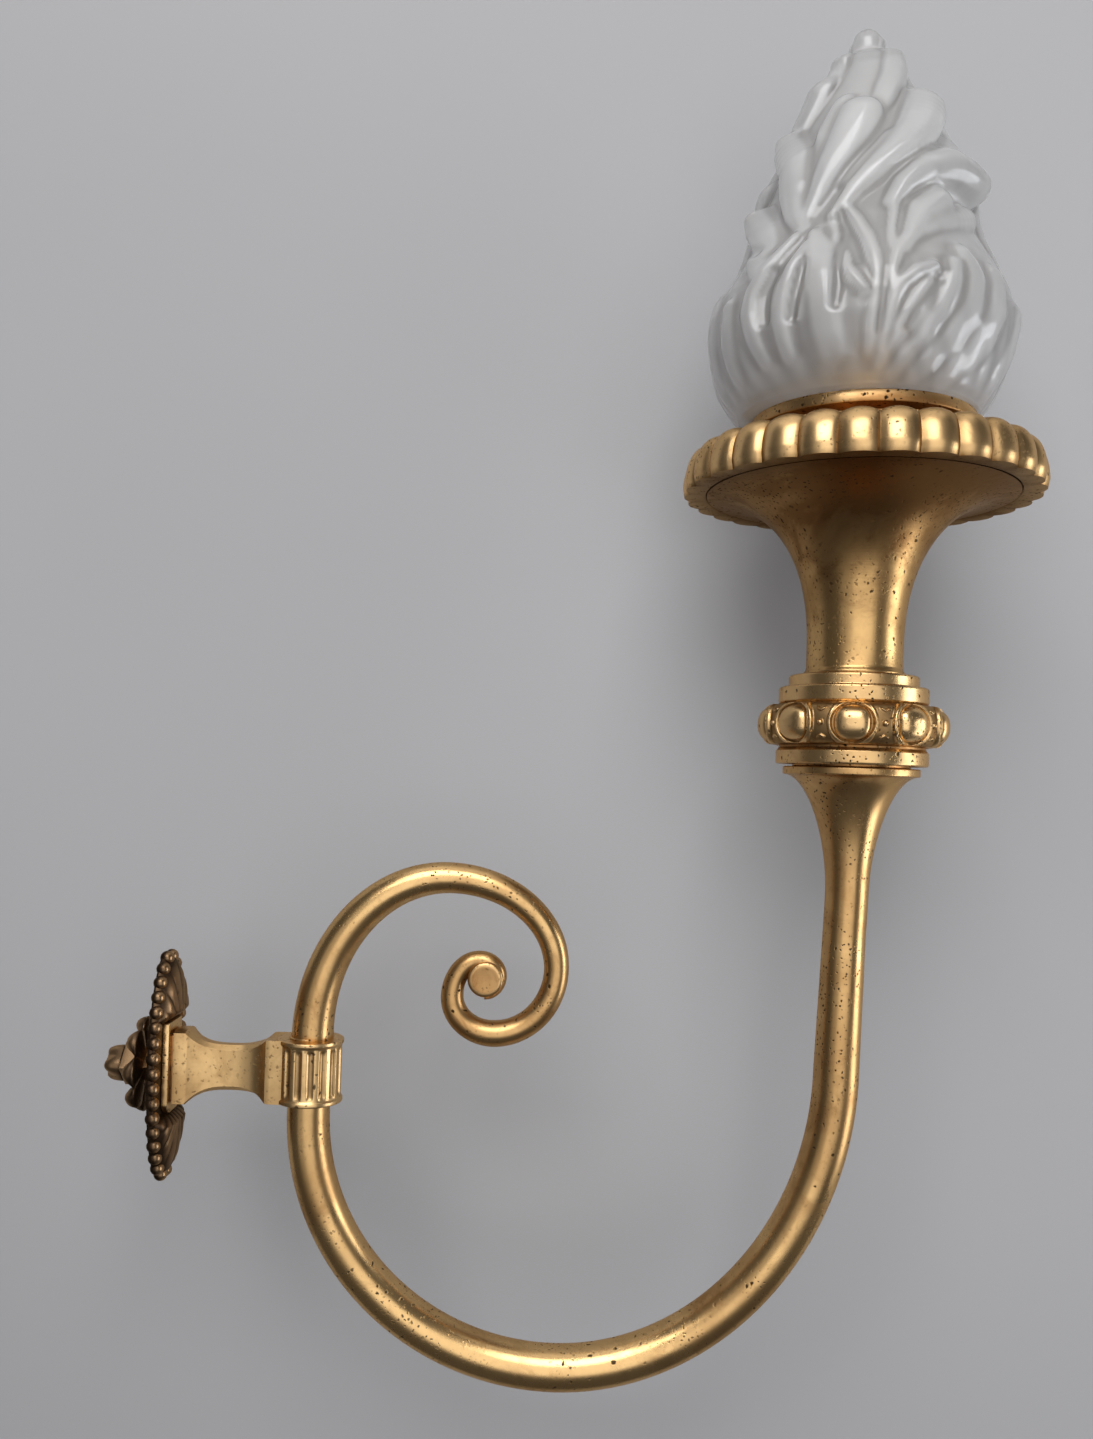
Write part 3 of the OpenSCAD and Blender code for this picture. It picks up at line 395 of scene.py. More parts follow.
flange = softened([(FLANGE_R - 5, FLANGE_Z + 1.3), (FLANGE_R - 5, FLANGE_Z), (FLANGE_R, FLANGE_Z),
                   (FLANGE_R, FLANGE_Z - FLANGE_T), flare(0.96)], 0.9)
top = flange + [flare(k / 32) for k in range(30, -1, -1)]
bow = ([(TORCH_X, z, -90, r) for r, z in top]
       + [(359.9, 92, -91, 11.2), (359.4, 78.9, -91, 11.2), (358.8, 54, -91, 11.45),
          (358.1, 28.9, -91, 11.7)]
       + quarter_path((LIMB_X, LIMB_Z), -90, 11.9, [(144.4, 163, 11.8), (134.4, 130.1, 11.2)], 40)
       + [(COLLAR_X, -GRIP_Z, 90, 11.2), (COLLAR_X, GRIP_Z - 0.5, 90, 11.2), (COLLAR_X, GRIP_Z, 90, 10.8)])
points, faces = tube(bow, 64)
scroll = ([(COLLAR_X + 0.9, GRIP_Z - 1.5, 90, 10.9)]
          + quarter_path((COLLAR_X + 0.9, GRIP_Z), 90, 11,
                         [(70.1, 85.9, 8.2), (57.9, 46.6, 6.6), (32.7, 35.2, 7), (22.1, 19.5, 6),
                          (14.6, 19.1, 5), (9.5, 8.5, 4.6), (7, 8, 4.2)]))
scroll_points, scroll_faces = tube(scroll, 48)
offset = len(points)
piece("arm_tube", np.concatenate([points, scroll_points]),
      faces + [tuple(i + offset for i in f) for f in scroll_faces], "fixed", tube_brass, ["arm"])

# %% [markdown]
# ## The scroll's button
# A turned button closes the eye of the scroll on both faces: a flat face with a rounded
# edge and a shallow ring just inside it. It is a lathe shape laid on its side.

# %% Button
def laid(profile, centre, columns=72):
    """Rings round an axis along Y through centre (x, z), from (radius, y)."""
    angle = np.linspace(0, 2 * math.pi, columns, endpoint=False)
    return np.concatenate([np.stack([centre[0] + r * np.cos(angle), np.full(columns, y),
                                     centre[1] + r * np.sin(angle)], -1) for r, y in profile])


face = softened([(0.2, 6.45), (4.5, 6.55), (7.0, 6.8), (8.9, 6.3), (9.5, 4.9), (9.5, 3.45)], 1.4)
waist = [(5.4, 3.4), (5.4, -3.4)]
profile = face + waist + [(r, -y) for r, y in face[::-1]]
piece("scroll_button_turned", laid(profile, (170.5, 51.0)), capped(len(profile), 72),
      "fixed", turned_brass, ["scroll_button"], sharp=50,
      shade_and_patina=np.repeat([0.75 if r < 7 and abs(y) > 6 else 0.15 for r, y in profile], 72))

# %% [markdown]
# ## Fluted collar
# The collar that grips the tube has two rounded end rings and sixteen flutes cut between
# them. Cutting sixteen grooves with booleans leaves ragged shading; here the radius itself
# dips at each flute, and the dip fades out near the rings as the cutter's run-out does.

# %% Collar
COLLAR_H, COLLAR_R = 33.2, 17.5
body_r, ring_h = COLLAR_R - 0.9, 3.0
half = COLLAR_H / 2
outline = softened([(11.25, -half), (COLLAR_R - 0.3, -half), (COLLAR_R, -half + 0.4),
                    (COLLAR_R, -half + ring_h - 0.9), (body_r, -half + ring_h)], 0.7)
outline += [(body_r, z) for z in np.linspace(-half + ring_h + 0.5, half - ring_h - 0.5, 24)]
outline += [(r, -z) for r, z in outline[::-1] if z < -half + ring_h + 0.1]
columns = 16 * 16
angle = np.linspace(0, 2 * math.pi, columns, endpoint=False)[None, :]
height = np.array([z for _, z in outline])[:, None]
middle = np.clip((body_r + 0.05 - np.array([r for r, _ in outline]))[:, None] * 20, 0, 1)
fade = np.clip((half - ring_h - 0.8 - np.abs(height)) / 1.6, 0, 1) ** 0.5 * middle
groove = np.clip(1 - (np.abs((angle * 16 / (2 * math.pi)) % 1 - 0.5) / 0.28) ** 2, 0, 1) ** 0.6
depth = 1.15 * groove * fade
radius = np.array([r for r, _ in outline])[:, None] - depth
# The flutes get painted shade, deepest at their middle.
piece("fluted_collar_cut",
      np.stack([COLLAR_X + radius * np.cos(angle), radius * np.sin(angle),
                height * np.ones_like(radius)], -1).reshape(-1, 3),
      grid_faces(len(outline), columns, closed=True), "fixed", cast_brass,
      ["fluted_collar"], sharp=60, shade_and_patina=(depth / 1.15) ** 1.2 * 0.6)

# %% [markdown]
# ## Bracket
# The bracket is a casting with flat cheeks, drawn in to a waist and opening again to clasp
# the collar. Its section keeps eight corners all the way, so a loft of eight-cornered
# rings is its true shape; a Bevel modifier then rubs the long edges round.

# %% Bracket
WAIST_AT, HEAD_AT = 0.44, 0.78


def drawn_in(k):
    """How full the section is: 1 at the foot, 0 at the waist, 1 again along the flat head."""
    if k < WAIST_AT:
        return (1 - k / WAIST_AT) ** 3
    return min(1.0, (k - WAIST_AT) / (HEAD_AT - WAIST_AT)) ** 2.7


def bracket_section(k):
    """The eight corners (y, z) of the section at k along the bracket."""
    w, to_head = drawn_in(k), min(1.0, k / HEAD_AT)
    deep = 5 + (9 * (1 + 0.25 * k) - 5) * w
    cheek = 9.52 + (18.5 * (1 - 0.1 * to_head) - 9.52) * w
    full = 11.9 + (19.5 * (1 - 0.2 * to_head) - 11.9) * w
    inner = max(deep - 3.5, deep * 0.5)
    return [(deep, cheek), (inner, full), (-inner, full), (-deep, cheek),
            (-deep, -cheek), (-inner, -full), (inner, -full), (deep, -cheek)]


x_foot, block, run = 8.7, 6.0, 55.0
stations = [(x_foot, 0.0)] + [(x_foot + block + run * k / 40, k / 40) for k in range(39)]
points = [(min(x, COLLAR_X - math.sqrt((body_r + 0.15) ** 2 - y * y)), y, z)
          for x, k in stations for y, z in bracket_section(k)]
bracket = piece("bracket_cast", points, capped(len(stations), 8), "fixed", bracket_brass,
                ["bracket"], sharp=28)
rubbed = bracket.modifiers.new("rubbed edges", "BEVEL")
rubbed.width, rubbed.segments, rubbed.limit_method = 0.0007, 3, "ANGLE"
rubbed.angle_limit = math.radians(24)
rubbed.harden_normals = True

# %% The bracket's neck against the pad
def block_piece(name, low, high, body, material, nodes=(), bevel=0.5):
    """A sawn block with its edges eased."""
    work = bmesh.new()
    size = Vector(high) - Vector(low)
    bmesh.ops.create_cube(work, size=1, matrix=Matrix.Translation((Vector(low) + Vector(high)) / 2)
                          @ Matrix.Diagonal((*size, 1)))
    bmesh.ops.bevel(work, geom=list(work.edges), offset=bevel, segments=3, profile=0.6, affect="EDGES")
    work.verts.index_update()
    points, faces = [v.co[:] for v in work.verts], [tuple(v.index for v in f.verts) for f in work.faces]
    work.free()
    return piece(name, points, faces, body, material, nodes)


# The neck is set in from the bracket's faces and made in dark brass, which paints the shadow in the gap
# between the pad and the bracket's foot.
block_piece("bracket_neck", (7.2, -7.5, -17), (9.6, 7.5, 17), "fixed", dark_brass)

# %% [markdown]
# ## Wall plate
# A cast oval with a border of round beads; inside it reeds fan out from a raised mound in
# the middle. The ground is a height map over rings of shrinking ovals, so the reeds can
# fan as they do on the real casting, and the beads are small balls sunk into its border.

# %% Plate
def oval_rings(half_w, half_h, levels, columns, height):
    """Ring points (height, y, z) over an oval, from its edge to its middle."""
    angle = np.linspace(0, 2 * math.pi, columns, endpoint=False)[None, :]
    level = np.array(levels)[:, None]
    y, z = level * half_w * np.cos(angle), level * half_h * np.sin(angle)
    return np.stack([height(y, z, angle, level), y, z], -1)


def plate_height(y, z, angle, level):
    dome = 1.6 + 8.2 * np.clip(1 - level ** 5, 0, 1) ** 0.58
    seat = np.clip((np.abs(z) - 24.2) / 5, 0, 1) ** 0.6
    fan = np.arctan2(y, np.maximum(np.abs(z) - 10, 0.1))
    reeds = np.abs(np.sin(fan * 14)) ** 0.7 * 1.15 * np.clip((0.93 - level) * 10, 0, 1) * seat
    return np.minimum(dome, 3.6) + np.clip(dome - 3.6, 0, 9) * seat + reeds


PLATE_W, PLATE_H = 24.1, 59.6
columns = 288
levels = list(np.linspace(1, 0.02, 56))
front = oval_rings(PLATE_W, PLATE_H, levels, columns, plate_height)
back = oval_rings(PLATE_W, PLATE_H, [0.02, 0.98, 1.0], columns,
                  lambda y, z, angle, level: np.where(level > 0.99, 0.4, 0.0) + 0 * y)
rings = np.concatenate([back, front])
unreeded = plate_height(front[..., 1] * 0, front[..., 2], 0, np.array(levels)[:, None])
furrow = 1 - (front[..., 0] - unreeded)
rows = len(rings)
# Painted shade in the furrows between the reeds, and full painted shade on the plate's back.
shade = np.concatenate([np.ones((3, columns)), np.clip(furrow * 0.7 + 0.2, 0, 1)])
points, shade = rings.reshape(-1, 3), shade.ravel()
faces = capped(rows, columns)
walk = [(22.3 * math.cos(a), 57.8 * math.sin(a)) for a in np.linspace(0, 2 * math.pi, 721)]
gone = np.concatenate([[0], np.cumsum([math.dist(a, b) for a, b in zip(walk, walk[1:])])])
bead = bmesh.new()
for i in range(34):
    at = gone[-1] * i / 34
    y, z = (float(np.interp(at, gone, [w[n] for w in walk])) for n in (0, 1))
    bmesh.ops.create_icosphere(bead, subdivisions=3, radius=random.uniform(3.6, 3.72),
                               matrix=Matrix.Translation((2.6, y, z)))
bead.verts.index_update()
offset = len(points)
bead_points = np.array([v.co[:] for v in bead.verts])
faces += [tuple(v.index + offset for v in f.verts) for f in bead.faces]
bead.free()
# The beads get painted shade towards their feet, where they sink into the border.
piece("back_plate_cast", np.concatenate([points, bead_points]), faces, "fixed", dark_brass,
      ["back_plate"], sharp=80,
      shade_and_patina=np.concatenate([shade, np.clip((4.6 - bead_points[:, 0]) / 2.4, 0, 1)]))

# %% Seat pad
profile = [(-11, -20), (-7, -24), (7, -24), (11, -20), (11, 24), (-11, 24)]
edge = softened(profile, 1.2, closed=True)
slices = [(4.0, 0.0), (6.6, 0.0), (7.0, 0.25), (7.2, 0.8)]
points = [(x, y * (1 - inset / 11), z * (1 - inset / 24)) for x, inset in slices for y, z in edge]
piece("seat_pad_filed", points, capped(len(slices), len(edge)), "fixed", cast_brass, ["seat_pad"])

# %% [markdown]
# ## Rosette, nut and bud behind the panel
# Behind the wall plate a leaf rosette clamps the panel, a square nut draws it up and a bud
# with small leaves caps the stud. They face away from the room along -X, so they are
# height maps too, this time measured down from the panel's back.

# %% Rosette
def rosette_height(y, z, angle, level):
    lobe = np.abs(np.cos(4 * angle)) ** 1.1
    dome = np.clip(1 - ((level - 0.82) / 0.18) ** 2, 0, 1) ** 0.5 * lobe * 6.0
    dish = np.interp(level, [0, 0.45, 0.55, 0.8, 1], [4.5, 4.5, 1.6, 1.4, 0.6])
    vein = np.abs(np.sin(12 * angle)) ** 0.5 * 0.35 * (level > 0.5)
    return -7 - np.maximum(dish, dome + 0.4) - vein


angle_r = np.linspace(0, 2 * math.pi, 240, endpoint=False)
lobed = 25 * (0.8 + 0.2 * np.abs(np.cos(4 * angle_r)) ** 0.5)
levels = list(np.linspace(1, 0.03, 40))
front = oval_rings(1, 1, levels, 240, rosette_height)
front[..., 1:] *= lobed[None, :, None]
rim = front[:1].copy()
rim[..., 0] = -7
# Painted shade on the low ground next to the panel, none on the lobes and the boss that stand out.
shade = np.clip((front[..., 0] + 11.2) / 3.6, 0, 1)
rings = np.concatenate([rim * [1, 0.02, 0.02], rim * [1, 0.97, 0.97], front])
shade = np.concatenate([np.zeros((2, 240)), shade])
piece("leaf_rosette_cast", rings.reshape(-1, 3), capped(len(rings), 240), "rosette",
      dark_brass, ["leaf_rosette"], sharp=70, shade_and_patina=shade)

# %% Nut and bud
nut = block_piece("square_nut_filed", (-19, -8.25, -8.25), (-11.5, 8.25, 8.25), "nut", dark_brass,
                  ["square_nut"], bevel=0.9)
nut.data.transform(Matrix.Rotation(math.radians(45), 4, "X"))


def bud_height(y, z, angle, level):
    dome = 9.6 * np.sqrt(np.clip(1 - level ** 2.4, 0, 1))
    leaf = np.clip(1 - ((level - 0.86) / 0.3) ** 2, 0, 1) * np.abs(np.cos(2 * angle)) ** 1.5 * 2.2
    return -19 - dome - leaf


front = oval_rings(8.5, 8.5, list(np.linspace(1, 0.03, 30)), 120, bud_height)
round_it = np.linspace(0, 2 * math.pi, 120, endpoint=False)
front[:, :, 1:] *= (1 + 0.12 * np.abs(np.cos(2 * round_it)) ** 2)[None, :, None]
base = front[:1].copy()
base[..., 0] = -19
rings = np.concatenate([base * [1, 0.02, 0.02], base, front])
# Painted shade at the foot of the bud, where it meets the nut.
piece("leaf_bud_cast", rings.reshape(-1, 3), capped(len(rings), 120), "nut", dark_brass,
      ["leaf_bud"], sharp=70, shade_and_patina=np.clip((rings[..., 0] + 21.5) / 3, 0, 1))

# %% [markdown]
# ## Knop: band, eggs and steps
# Three turned rings sit under the trumpet. The middle one carries nine eggs, each in a
# raised double frame, with a small bead and a leaf tip between two frames. It is carved on
# one height map: a slow curve for the ring, and each ornament written as a small function
# of the distance along and across it. Sculpting by hand could not be repeated nine times.

# %% Band and steps
BAND_Z, EGG_Z, STEP_Z, FOOT_Z = 169.9, 180.0, 201.0, 216.8
profile = [(BORE_R, BAND_Z), (38.9, BAND_Z), (39.4, BAND_Z + 1), (39.4, EGG_Z - 3.2),
           (38.6, EGG_Z - 2.4), (37.9, EGG_Z - 1.6), (37.9, EGG_Z), (BORE_R, EGG_Z)]
# Painted shade on the small step under the egg ring and on the inner faces.
turned("knop_band_turned", softened(profile, 0.5, closed=True), turned_brass, ["knop_band"],
       shade_and_patina=lambda r, z: 1.0 if z > EGG_Z - 2.2 or r < 30 else 0.0)
profile = [(BORE_R, STEP_Z), (37.6, STEP_Z), (38.7, STEP_Z + 1.6), (38.7, STEP_Z + 8.6),
           (37.9, STEP_Z + 9.5), (33.7, STEP_Z + 9.6), (33.7, FOOT_Z - 0.8), (32.9, FOOT_Z),
           (BORE_R, FOOT_Z)]
# Painted shade on the underside that sits on the egg ring.
turned("stepped_ring_turned", softened(profile, 0.6, closed=True), turned_brass, ["stepped_ring"],
       shade_and_patina=lambda r, z: 1.0 if z < STEP_Z + 0.8 else 0.0)

# %% Egg ring
EGGS, EGG_R, EGG_H = 9, 47.5, 21
columns, rows = EGGS * 96, 90
angle = np.linspace(0, 2 * math.pi, columns, endpoint=False)[None, :]
span = np.linspace(0, 1, rows)[:, None]
height = EGG_Z + EGG_H * span + 0 * angle
t = height - EGG_Z - EGG_H / 2                      # along the axis, from the middle
pitch = 2 * math.pi / EGGS
s = ((angle - FRONT + pitch / 2) % pitch - pitch / 2) * EGG_R   # round the ring, from an egg
ground = 39.6 + 6.2 * np.clip(1 - (t / 10.6) ** 2, 0, 1) ** 0.42
egg = 3.7 * np.clip(1 - np.abs(s / 9.0) ** 2.6 - np.abs(t / 8.9) ** 2.8, 0, 1) ** 0.45
outer, inner = np.hypot(s / 13.0, t / 14.0), np.hypot(s / 10.4, t / 9.9)
frame_ridge = (1.9 * np.clip((1 - outer) * 10, 0, 1) * np.clip((inner - 1) * 10, 0, 1)
               + 0.7 * np.clip(1 - ((outer - 0.945) / 0.045) ** 2, 0, 1)
               + 0.6 * np.clip(1 - ((inner - 1.06) / 0.05) ** 2, 0, 1))
gap = np.abs(s) - pitch * EGG_R / 2
bead_s = 1.6 * np.sqrt(np.clip(1 - (gap / 1.5) ** 2 - (t / 1.5) ** 2, 0, 1))
chevron = np.abs(t) - 6.2 - 0.55 * np.abs(gap)
leaf = 1.1 * np.clip(1 - (chevron / 0.7) ** 2, 0, 1) * np.clip((2.6 - np.abs(gap)) / 0.6, 0, 1)
relief = np.maximum(np.maximum(egg, frame_ridge), np.maximum(bead_s, leaf))
radius = np.minimum(ground + relief, 49.4)
rings = np.stack([TORCH_X + radius * np.cos(angle), radius * np.sin(angle), height], -1)
inside = lathe([(BORE_R, EGG_Z + EGG_H), (BORE_R, EGG_Z)], columns)
# Painted shade on the flat ground between the ornaments and on the inner faces, fading off the raised eggs,
# frames, beads and leaves.
shade = np.concatenate([np.clip(0.7 - relief / 1.6, 0, 1), np.ones((2, columns))])
piece("egg_ring_carved", np.concatenate([rings, inside]).reshape(-1, 3),
      grid_faces(rows + 2, columns, closed=True), "fixed", cast_brass, ["egg_ring"],
      sharp=80, shade_and_patina=shade)

# %% [markdown]
# ## Trumpet and gadrooned rim
# The trumpet is spun from sheet: a straight foot, then a curve that opens to a wide mouth,
# with the fine lines the tool leaves. The rim is cast: thirty convex gadroons run from its
# under edge over to the top, and the groove between two of them is narrow and deep, so the
# radius follows a power of a sine that is nearly flat on the lobe and drops only near it.

# %% Trumpet
NECK_R, MOUTH_R, RIM_Z, RIM_H = 25, 80.3, 312.0, 23.5
STRAIGHT, BELL_H = 15, 80.2      # the straight foot, and the height of the curve above it


def bell(k, wall=0.0):
    """(radius, height) at k up the curve; wall moves it in to the inner face."""
    a = math.radians(90 * k)
    return (NECK_R + (MOUTH_R - NECK_R) * (1 - math.cos(a)) ** 1.12 - wall * math.cos(a),
            FOOT_Z + STRAIGHT + BELL_H * math.sin(a) + wall * math.sin(a) * (k < 0.999))


outer = [(26, FOOT_Z), (26.3, FOOT_Z + 1), (26, FOOT_Z + 2), (25.3, FOOT_Z + 2.8), (25, FOOT_Z + 4)]
outer += [bell(k / 60) for k in range(61)]
inner = [bell(k / 60, 2.0) for k in range(58, -1, -1)]
inner += [(23, FOOT_Z + 3), (BORE_R, FOOT_Z + 3), (BORE_R, FOOT_Z)]
# Browner and darker towards the mouth: patina, and painted shade on the flare, which faces down.
turned("trumpet_spun", outer + inner, spun_brass, ["trumpet_cup"], columns=160, sharp=50,
       shade_and_patina=lambda r, z: min(1.0, max(0.0, (r - NECK_R) / 20)) ** 0.8)

# %% Rim
lobes, per_lobe = 30, 16
columns = lobes * per_lobe
angle = np.linspace(0, 2 * math.pi, columns, endpoint=False)
crest = np.abs(np.sin((angle + math.radians(2.8)) * lobes / 2))
dip = 1 - crest ** 0.55
# Painted shade in the grooves between the gadroons, along the under edge and on the inner faces.
rings, shade = [], []
for k in np.linspace(0, 1, 26):
    a = math.radians(90 * k)
    r = MOUTH_R - 1.5 + 14.6 * math.cos(a) ** 0.75
    z = RIM_Z + RIM_H * math.sin(a) ** 0.8
    cut = dip * (3.8 * math.cos(a * 0.72) ** 0.6 + 0.2)
    under = 1.0 * max(0.0, 1 - k * 12)
    arch = 2.4 * dip * math.sin(a) ** 5
    rings.append(np.stack([r - cut - under, z - arch], -1))
    shade.append(np.clip(dip ** 2 * 0.9 + (0.6 if k == 0 else 0), 0, 1))
inner = softened([(77.5, RIM_Z + RIM_H - 0.2), (76, RIM_Z + RIM_H - 1.6), (75.4, RIM_Z + RIM_H - 3),
                  (74, RIM_Z + 2.2), (80.5, RIM_Z + 2.2), (80.6, RIM_Z + 0.5), (81.6, RIM_Z)], 0.4)
for r, z in inner:
    rings.append(np.stack([np.full(columns, r), np.full(columns, z)], -1))
    shade.append(np.ones(columns) * 0.9)
rings = np.array(rings)
radius, height = rings[..., 0], rings[..., 1]
points = np.stack([TORCH_X + radius * np.cos(angle), radius * np.sin(angle), height], -1)
piece("gadrooned_rim_cast", points.reshape(-1, 3), grid_faces(len(rings), columns, closed=True),
      "fixed", cast_brass, ["gadrooned_rim"], sharp=50, shade_and_patina=np.array(shade))

# %% Cover and gallery
RIM_TOP, LEDGE_Z, LIP_Z = 335.5, 346.7, 351.2
profile = [(BORE_R, RIM_TOP - 2.5), (75.2, RIM_TOP - 2.5), (75.2, RIM_TOP), (BORE_R, RIM_TOP)]
turned("cover_disc", softened(profile, 0.4, closed=True), turned_brass, ["cover_plate"])
profile = [(BORE_R, RIM_TOP), (46.1, RIM_TOP), (46.1, LEDGE_Z - 2.4), (47, LEDGE_Z - 1.6),
           (57.6, LEDGE_Z - 1.6), (58.1, LEDGE_Z - 1.1), (58.1, LIP_Z), (56.1, LIP_Z),
           (56.1, LEDGE_Z + 1.5), (44.1, LEDGE_Z + 1.5), (44.1, RIM_TOP + 2), (BORE_R, RIM_TOP + 2)]
# Painted shade on the underside below the ledge.
turned("gallery_spun", softened(profile, 0.6, closed=True), turned_brass, ["shade_gallery"],
       columns=160, shade_and_patina=lambda r, z: 1.0 if z < LEDGE_Z + 0.2 else 0.0)

# %% [markdown]
# ## Glass flame
# A mould-blown shade: a smooth belly, and above it tongues of flame that lean, overlap and
# end in rounded tips standing off the body. It could be sculpted, but then it could not be
# changed by a number. Here the body is a lathe profile, and every tongue is a short path
# over it, (angle from the front, height, half width), with a height that grows towards
# its tip. Where two meet, their sixth powers are added and the sixth root taken: the
# higher one wins, but the crease stays a little soft, as in the mould. The back repeats
# the front half turn for half turn.

# %% Flame: body and tongues
# (height, shift of the middle along X, radius)
BODY = np.array([(0.6, -3.0, 61), (4, -3.2, 65.5), (11, -3.5, 70), (21, -3.6, 74.5), (31, -3.4, 77.2),
                 (41, -3.0, 78.2), (50, -2.6, 77.8), (60, -2.2, 75), (70, -1.8, 70), (80, -1.8, 64),
                 (91, -2.2, 58.5), (101, -2.4, 55), (111, -2, 53), (121, -1.3, 50), (131, -1.2, 46),
                 (141, -1.8, 41.5), (152, -2.4, 35.5), (162, -2, 30), (172, -1.8, 25), (182, -2, 19.5),
                 (188, -2.4, 17.5), (191.5, -3, 12.5), (194.5, -3.5, 9), (200, -3.9, 8.9), (204, -4.1, 7.5),
                 (206.4, -4.2, 4.6), (207.6, -4.2, 1.8), (208, -4.2, 0.3)])
# (how far it stands out, its path)
TONGUES = [
    # the top: two shoulders under the knob and a chip beside it
    (10, [(-60, 136, 5), (-66, 148, 9), (-64, 160, 10), (-60, 170, 9)]),
    (6, [(-58, 160, 6), (-54, 174, 7.5), (-54, 186, 6.5)]),
    (5.5, [(8, 148, 5), (20, 162, 7), (36, 176, 7.5), (46, 186, 6.5)]),
    (4, [(40, 190, 3), (62, 194, 3.5), (72, 199, 3)]),
    # the great tongue in front and the one that sweeps up to the right
    (10, [(-28, 86, 3.5), (-24, 100, 6), (-18, 117, 9), (-11, 131, 11), (-5, 144, 11)]),
    (5, [(-24, 92, 4.5), (-28, 107, 6), (-28, 122, 6.5), (-26, 138, 7), (-20, 154, 6)]),
    (12.5, [(-13, 86, 3.5), (-4, 100, 5), (8, 112, 7), (20, 123, 9), (35, 138, 10.5), (50, 153, 10.5)]),
    (6, [(-10, 104, 3), (0, 116, 3.6), (12, 128, 4), (26, 136, 4)]),
    # right side, from the shoulder lobe down to the belly
    (14, [(12, 90, 4), (20, 102, 6), (33, 112, 8.5), (50, 116, 11), (72, 115, 10.5)]),
    (7, [(60, 128, 6), (74, 134, 8), (88, 132, 9)]),
    # the stem of two ridges in front and the branches that leave it
    (3.8, [(4, 14, 2.4), (5, 24, 3), (6, 36, 3.2), (6, 48, 3.4), (4, 60, 3.6), (1, 71, 3.8), (-4, 82, 4),
           (-10, 92, 3.4)]),
    (3.6, [(9, 14, 2.4), (10, 26, 2.8), (10.5, 40, 2.8), (11, 52, 2.8), (12.5, 62, 3), (16, 70, 3.2)]),
    (7.5, [(10, 62, 2), (11, 75, 2.4), (14, 91, 3), (19, 102, 3.8), (24, 109, 3.8)]),
    (8, [(15, 62, 3), (19, 75, 5), (26, 87, 7.5), (38, 95, 8.5)]),
    (5.5, [(12, 58, 2.6), (16, 66, 3.8), (21, 74, 5), (30, 81, 6), (42, 87, 6.5), (60, 93, 6.5)]),
    (5, [(10.5, 26, 2.4), (11.5, 36, 3), (14, 44, 3.4), (19, 50, 3.6), (25, 52.5, 3.2)]),
    # right belly
    (2.8, [(9, 8, 3), (15, 20, 4), (20, 32, 4.6), (25, 44, 4)]),
    (3.2, [(14, 5, 4), (23, 18, 5), (29, 31, 5.6), (33, 44, 5.6), (34, 56, 4)]),
    (3.8, [(24, 6, 5), (35, 20, 7), (42, 36, 8), (43, 52, 7), (39, 64, 5)]),
    (3.8, [(38, 6, 6), (50, 22, 9), (55, 40, 10), (55, 56, 7)]),
    (3, [(72, 8, 7), (77, 28, 9), (80, 46, 8)]),
    # left belly
    (4.4, [(-9, 14, 6), (-11, 28, 7.5), (-12, 42, 8), (-14, 54, 7.5), (-17, 66, 6), (-20, 76, 4)]),
    (6, [(-17, 44, 2), (-18, 54, 2.4), (-18.5, 64, 2.6), (-19, 75, 2.4)]),
    (4.8, [(-7, 56, 2.4), (-5, 51, 3), (-1, 45, 3), (2, 40, 2.2)]),
    (4.8, [(-27, 16, 4), (-28, 30, 4.6), (-27.5, 44, 4.6), (-25, 56, 4.4), (-21.5, 68, 4)]),
    (5.8, [(-38, 16, 4), (-41, 28, 5), (-43, 40, 5.2), (-41, 52, 5), (-35, 64, 4.8), (-28, 76, 4)]),
    (3.4, [(-56, 14, 5.5), (-56, 32, 6.5), (-55, 48, 6)]),
    (3.4, [(-76, 12, 7), (-72, 34, 9), (-72, 52, 8), (-78, 64, 6)]),
    # left lobes
    (12.5, [(-38, 60, 7), (-44, 72, 9.5), (-51, 85, 10), (-62, 97, 8.5), (-64, 101, 6.5)]),
    (11.5, [(-27, 82, 4), (-34, 94, 7.5), (-39, 108, 9.5), (-44, 123, 9.5), (-60, 137, 8.5),
            (-62, 142, 6.5)]),
    # the turns between the front and the back
    (8, [(-86, 60, 7), (-92, 84, 10), (-88, 106, 10), (-82, 122, 8)]),
    (8, [(-84, 116, 6), (-92, 136, 9), (-86, 154, 9), (-80, 166, 6)]),
]
# (how deep it is, its path)
HOLLOWS = [(3.6, [(-10, 86, 2.6), (-7, 77, 4), (-4, 67, 4.4), (-1, 56, 2.8)]),
           (3.2, [(-8, 72, 1.8), (-8, 60, 2.4), (-7.5, 48, 2.6), (-8, 34, 2.2)]),
           (2.8, [(-20.5, 58, 1.8), (-22, 46, 2.6), (-24, 32, 2.6)]),
           (3.4, [(-33, 58, 2.4), (-35.5, 47, 4), (-35.5, 34, 3.2)]),
           (2.4, [(27, 47, 2.4), (22, 36, 3), (17, 24, 2.4)]),
           (1.8, [(7.8, 50, 1.3), (8, 36, 1.5), (7.5, 22, 1.3)]),
           (3, [(-64, 86, 4), (-54, 78, 4), (-44, 73, 3)])]


def along(path, steps=26):
    """A tongue's path as many small stations."""
    path = np.array(path, float)
    at = np.linspace(0, len(path) - 1, steps)
    return [np.interp(at, range(len(path)), path[:, i]) for i in range(3)], np.linspace(0, 1, steps)


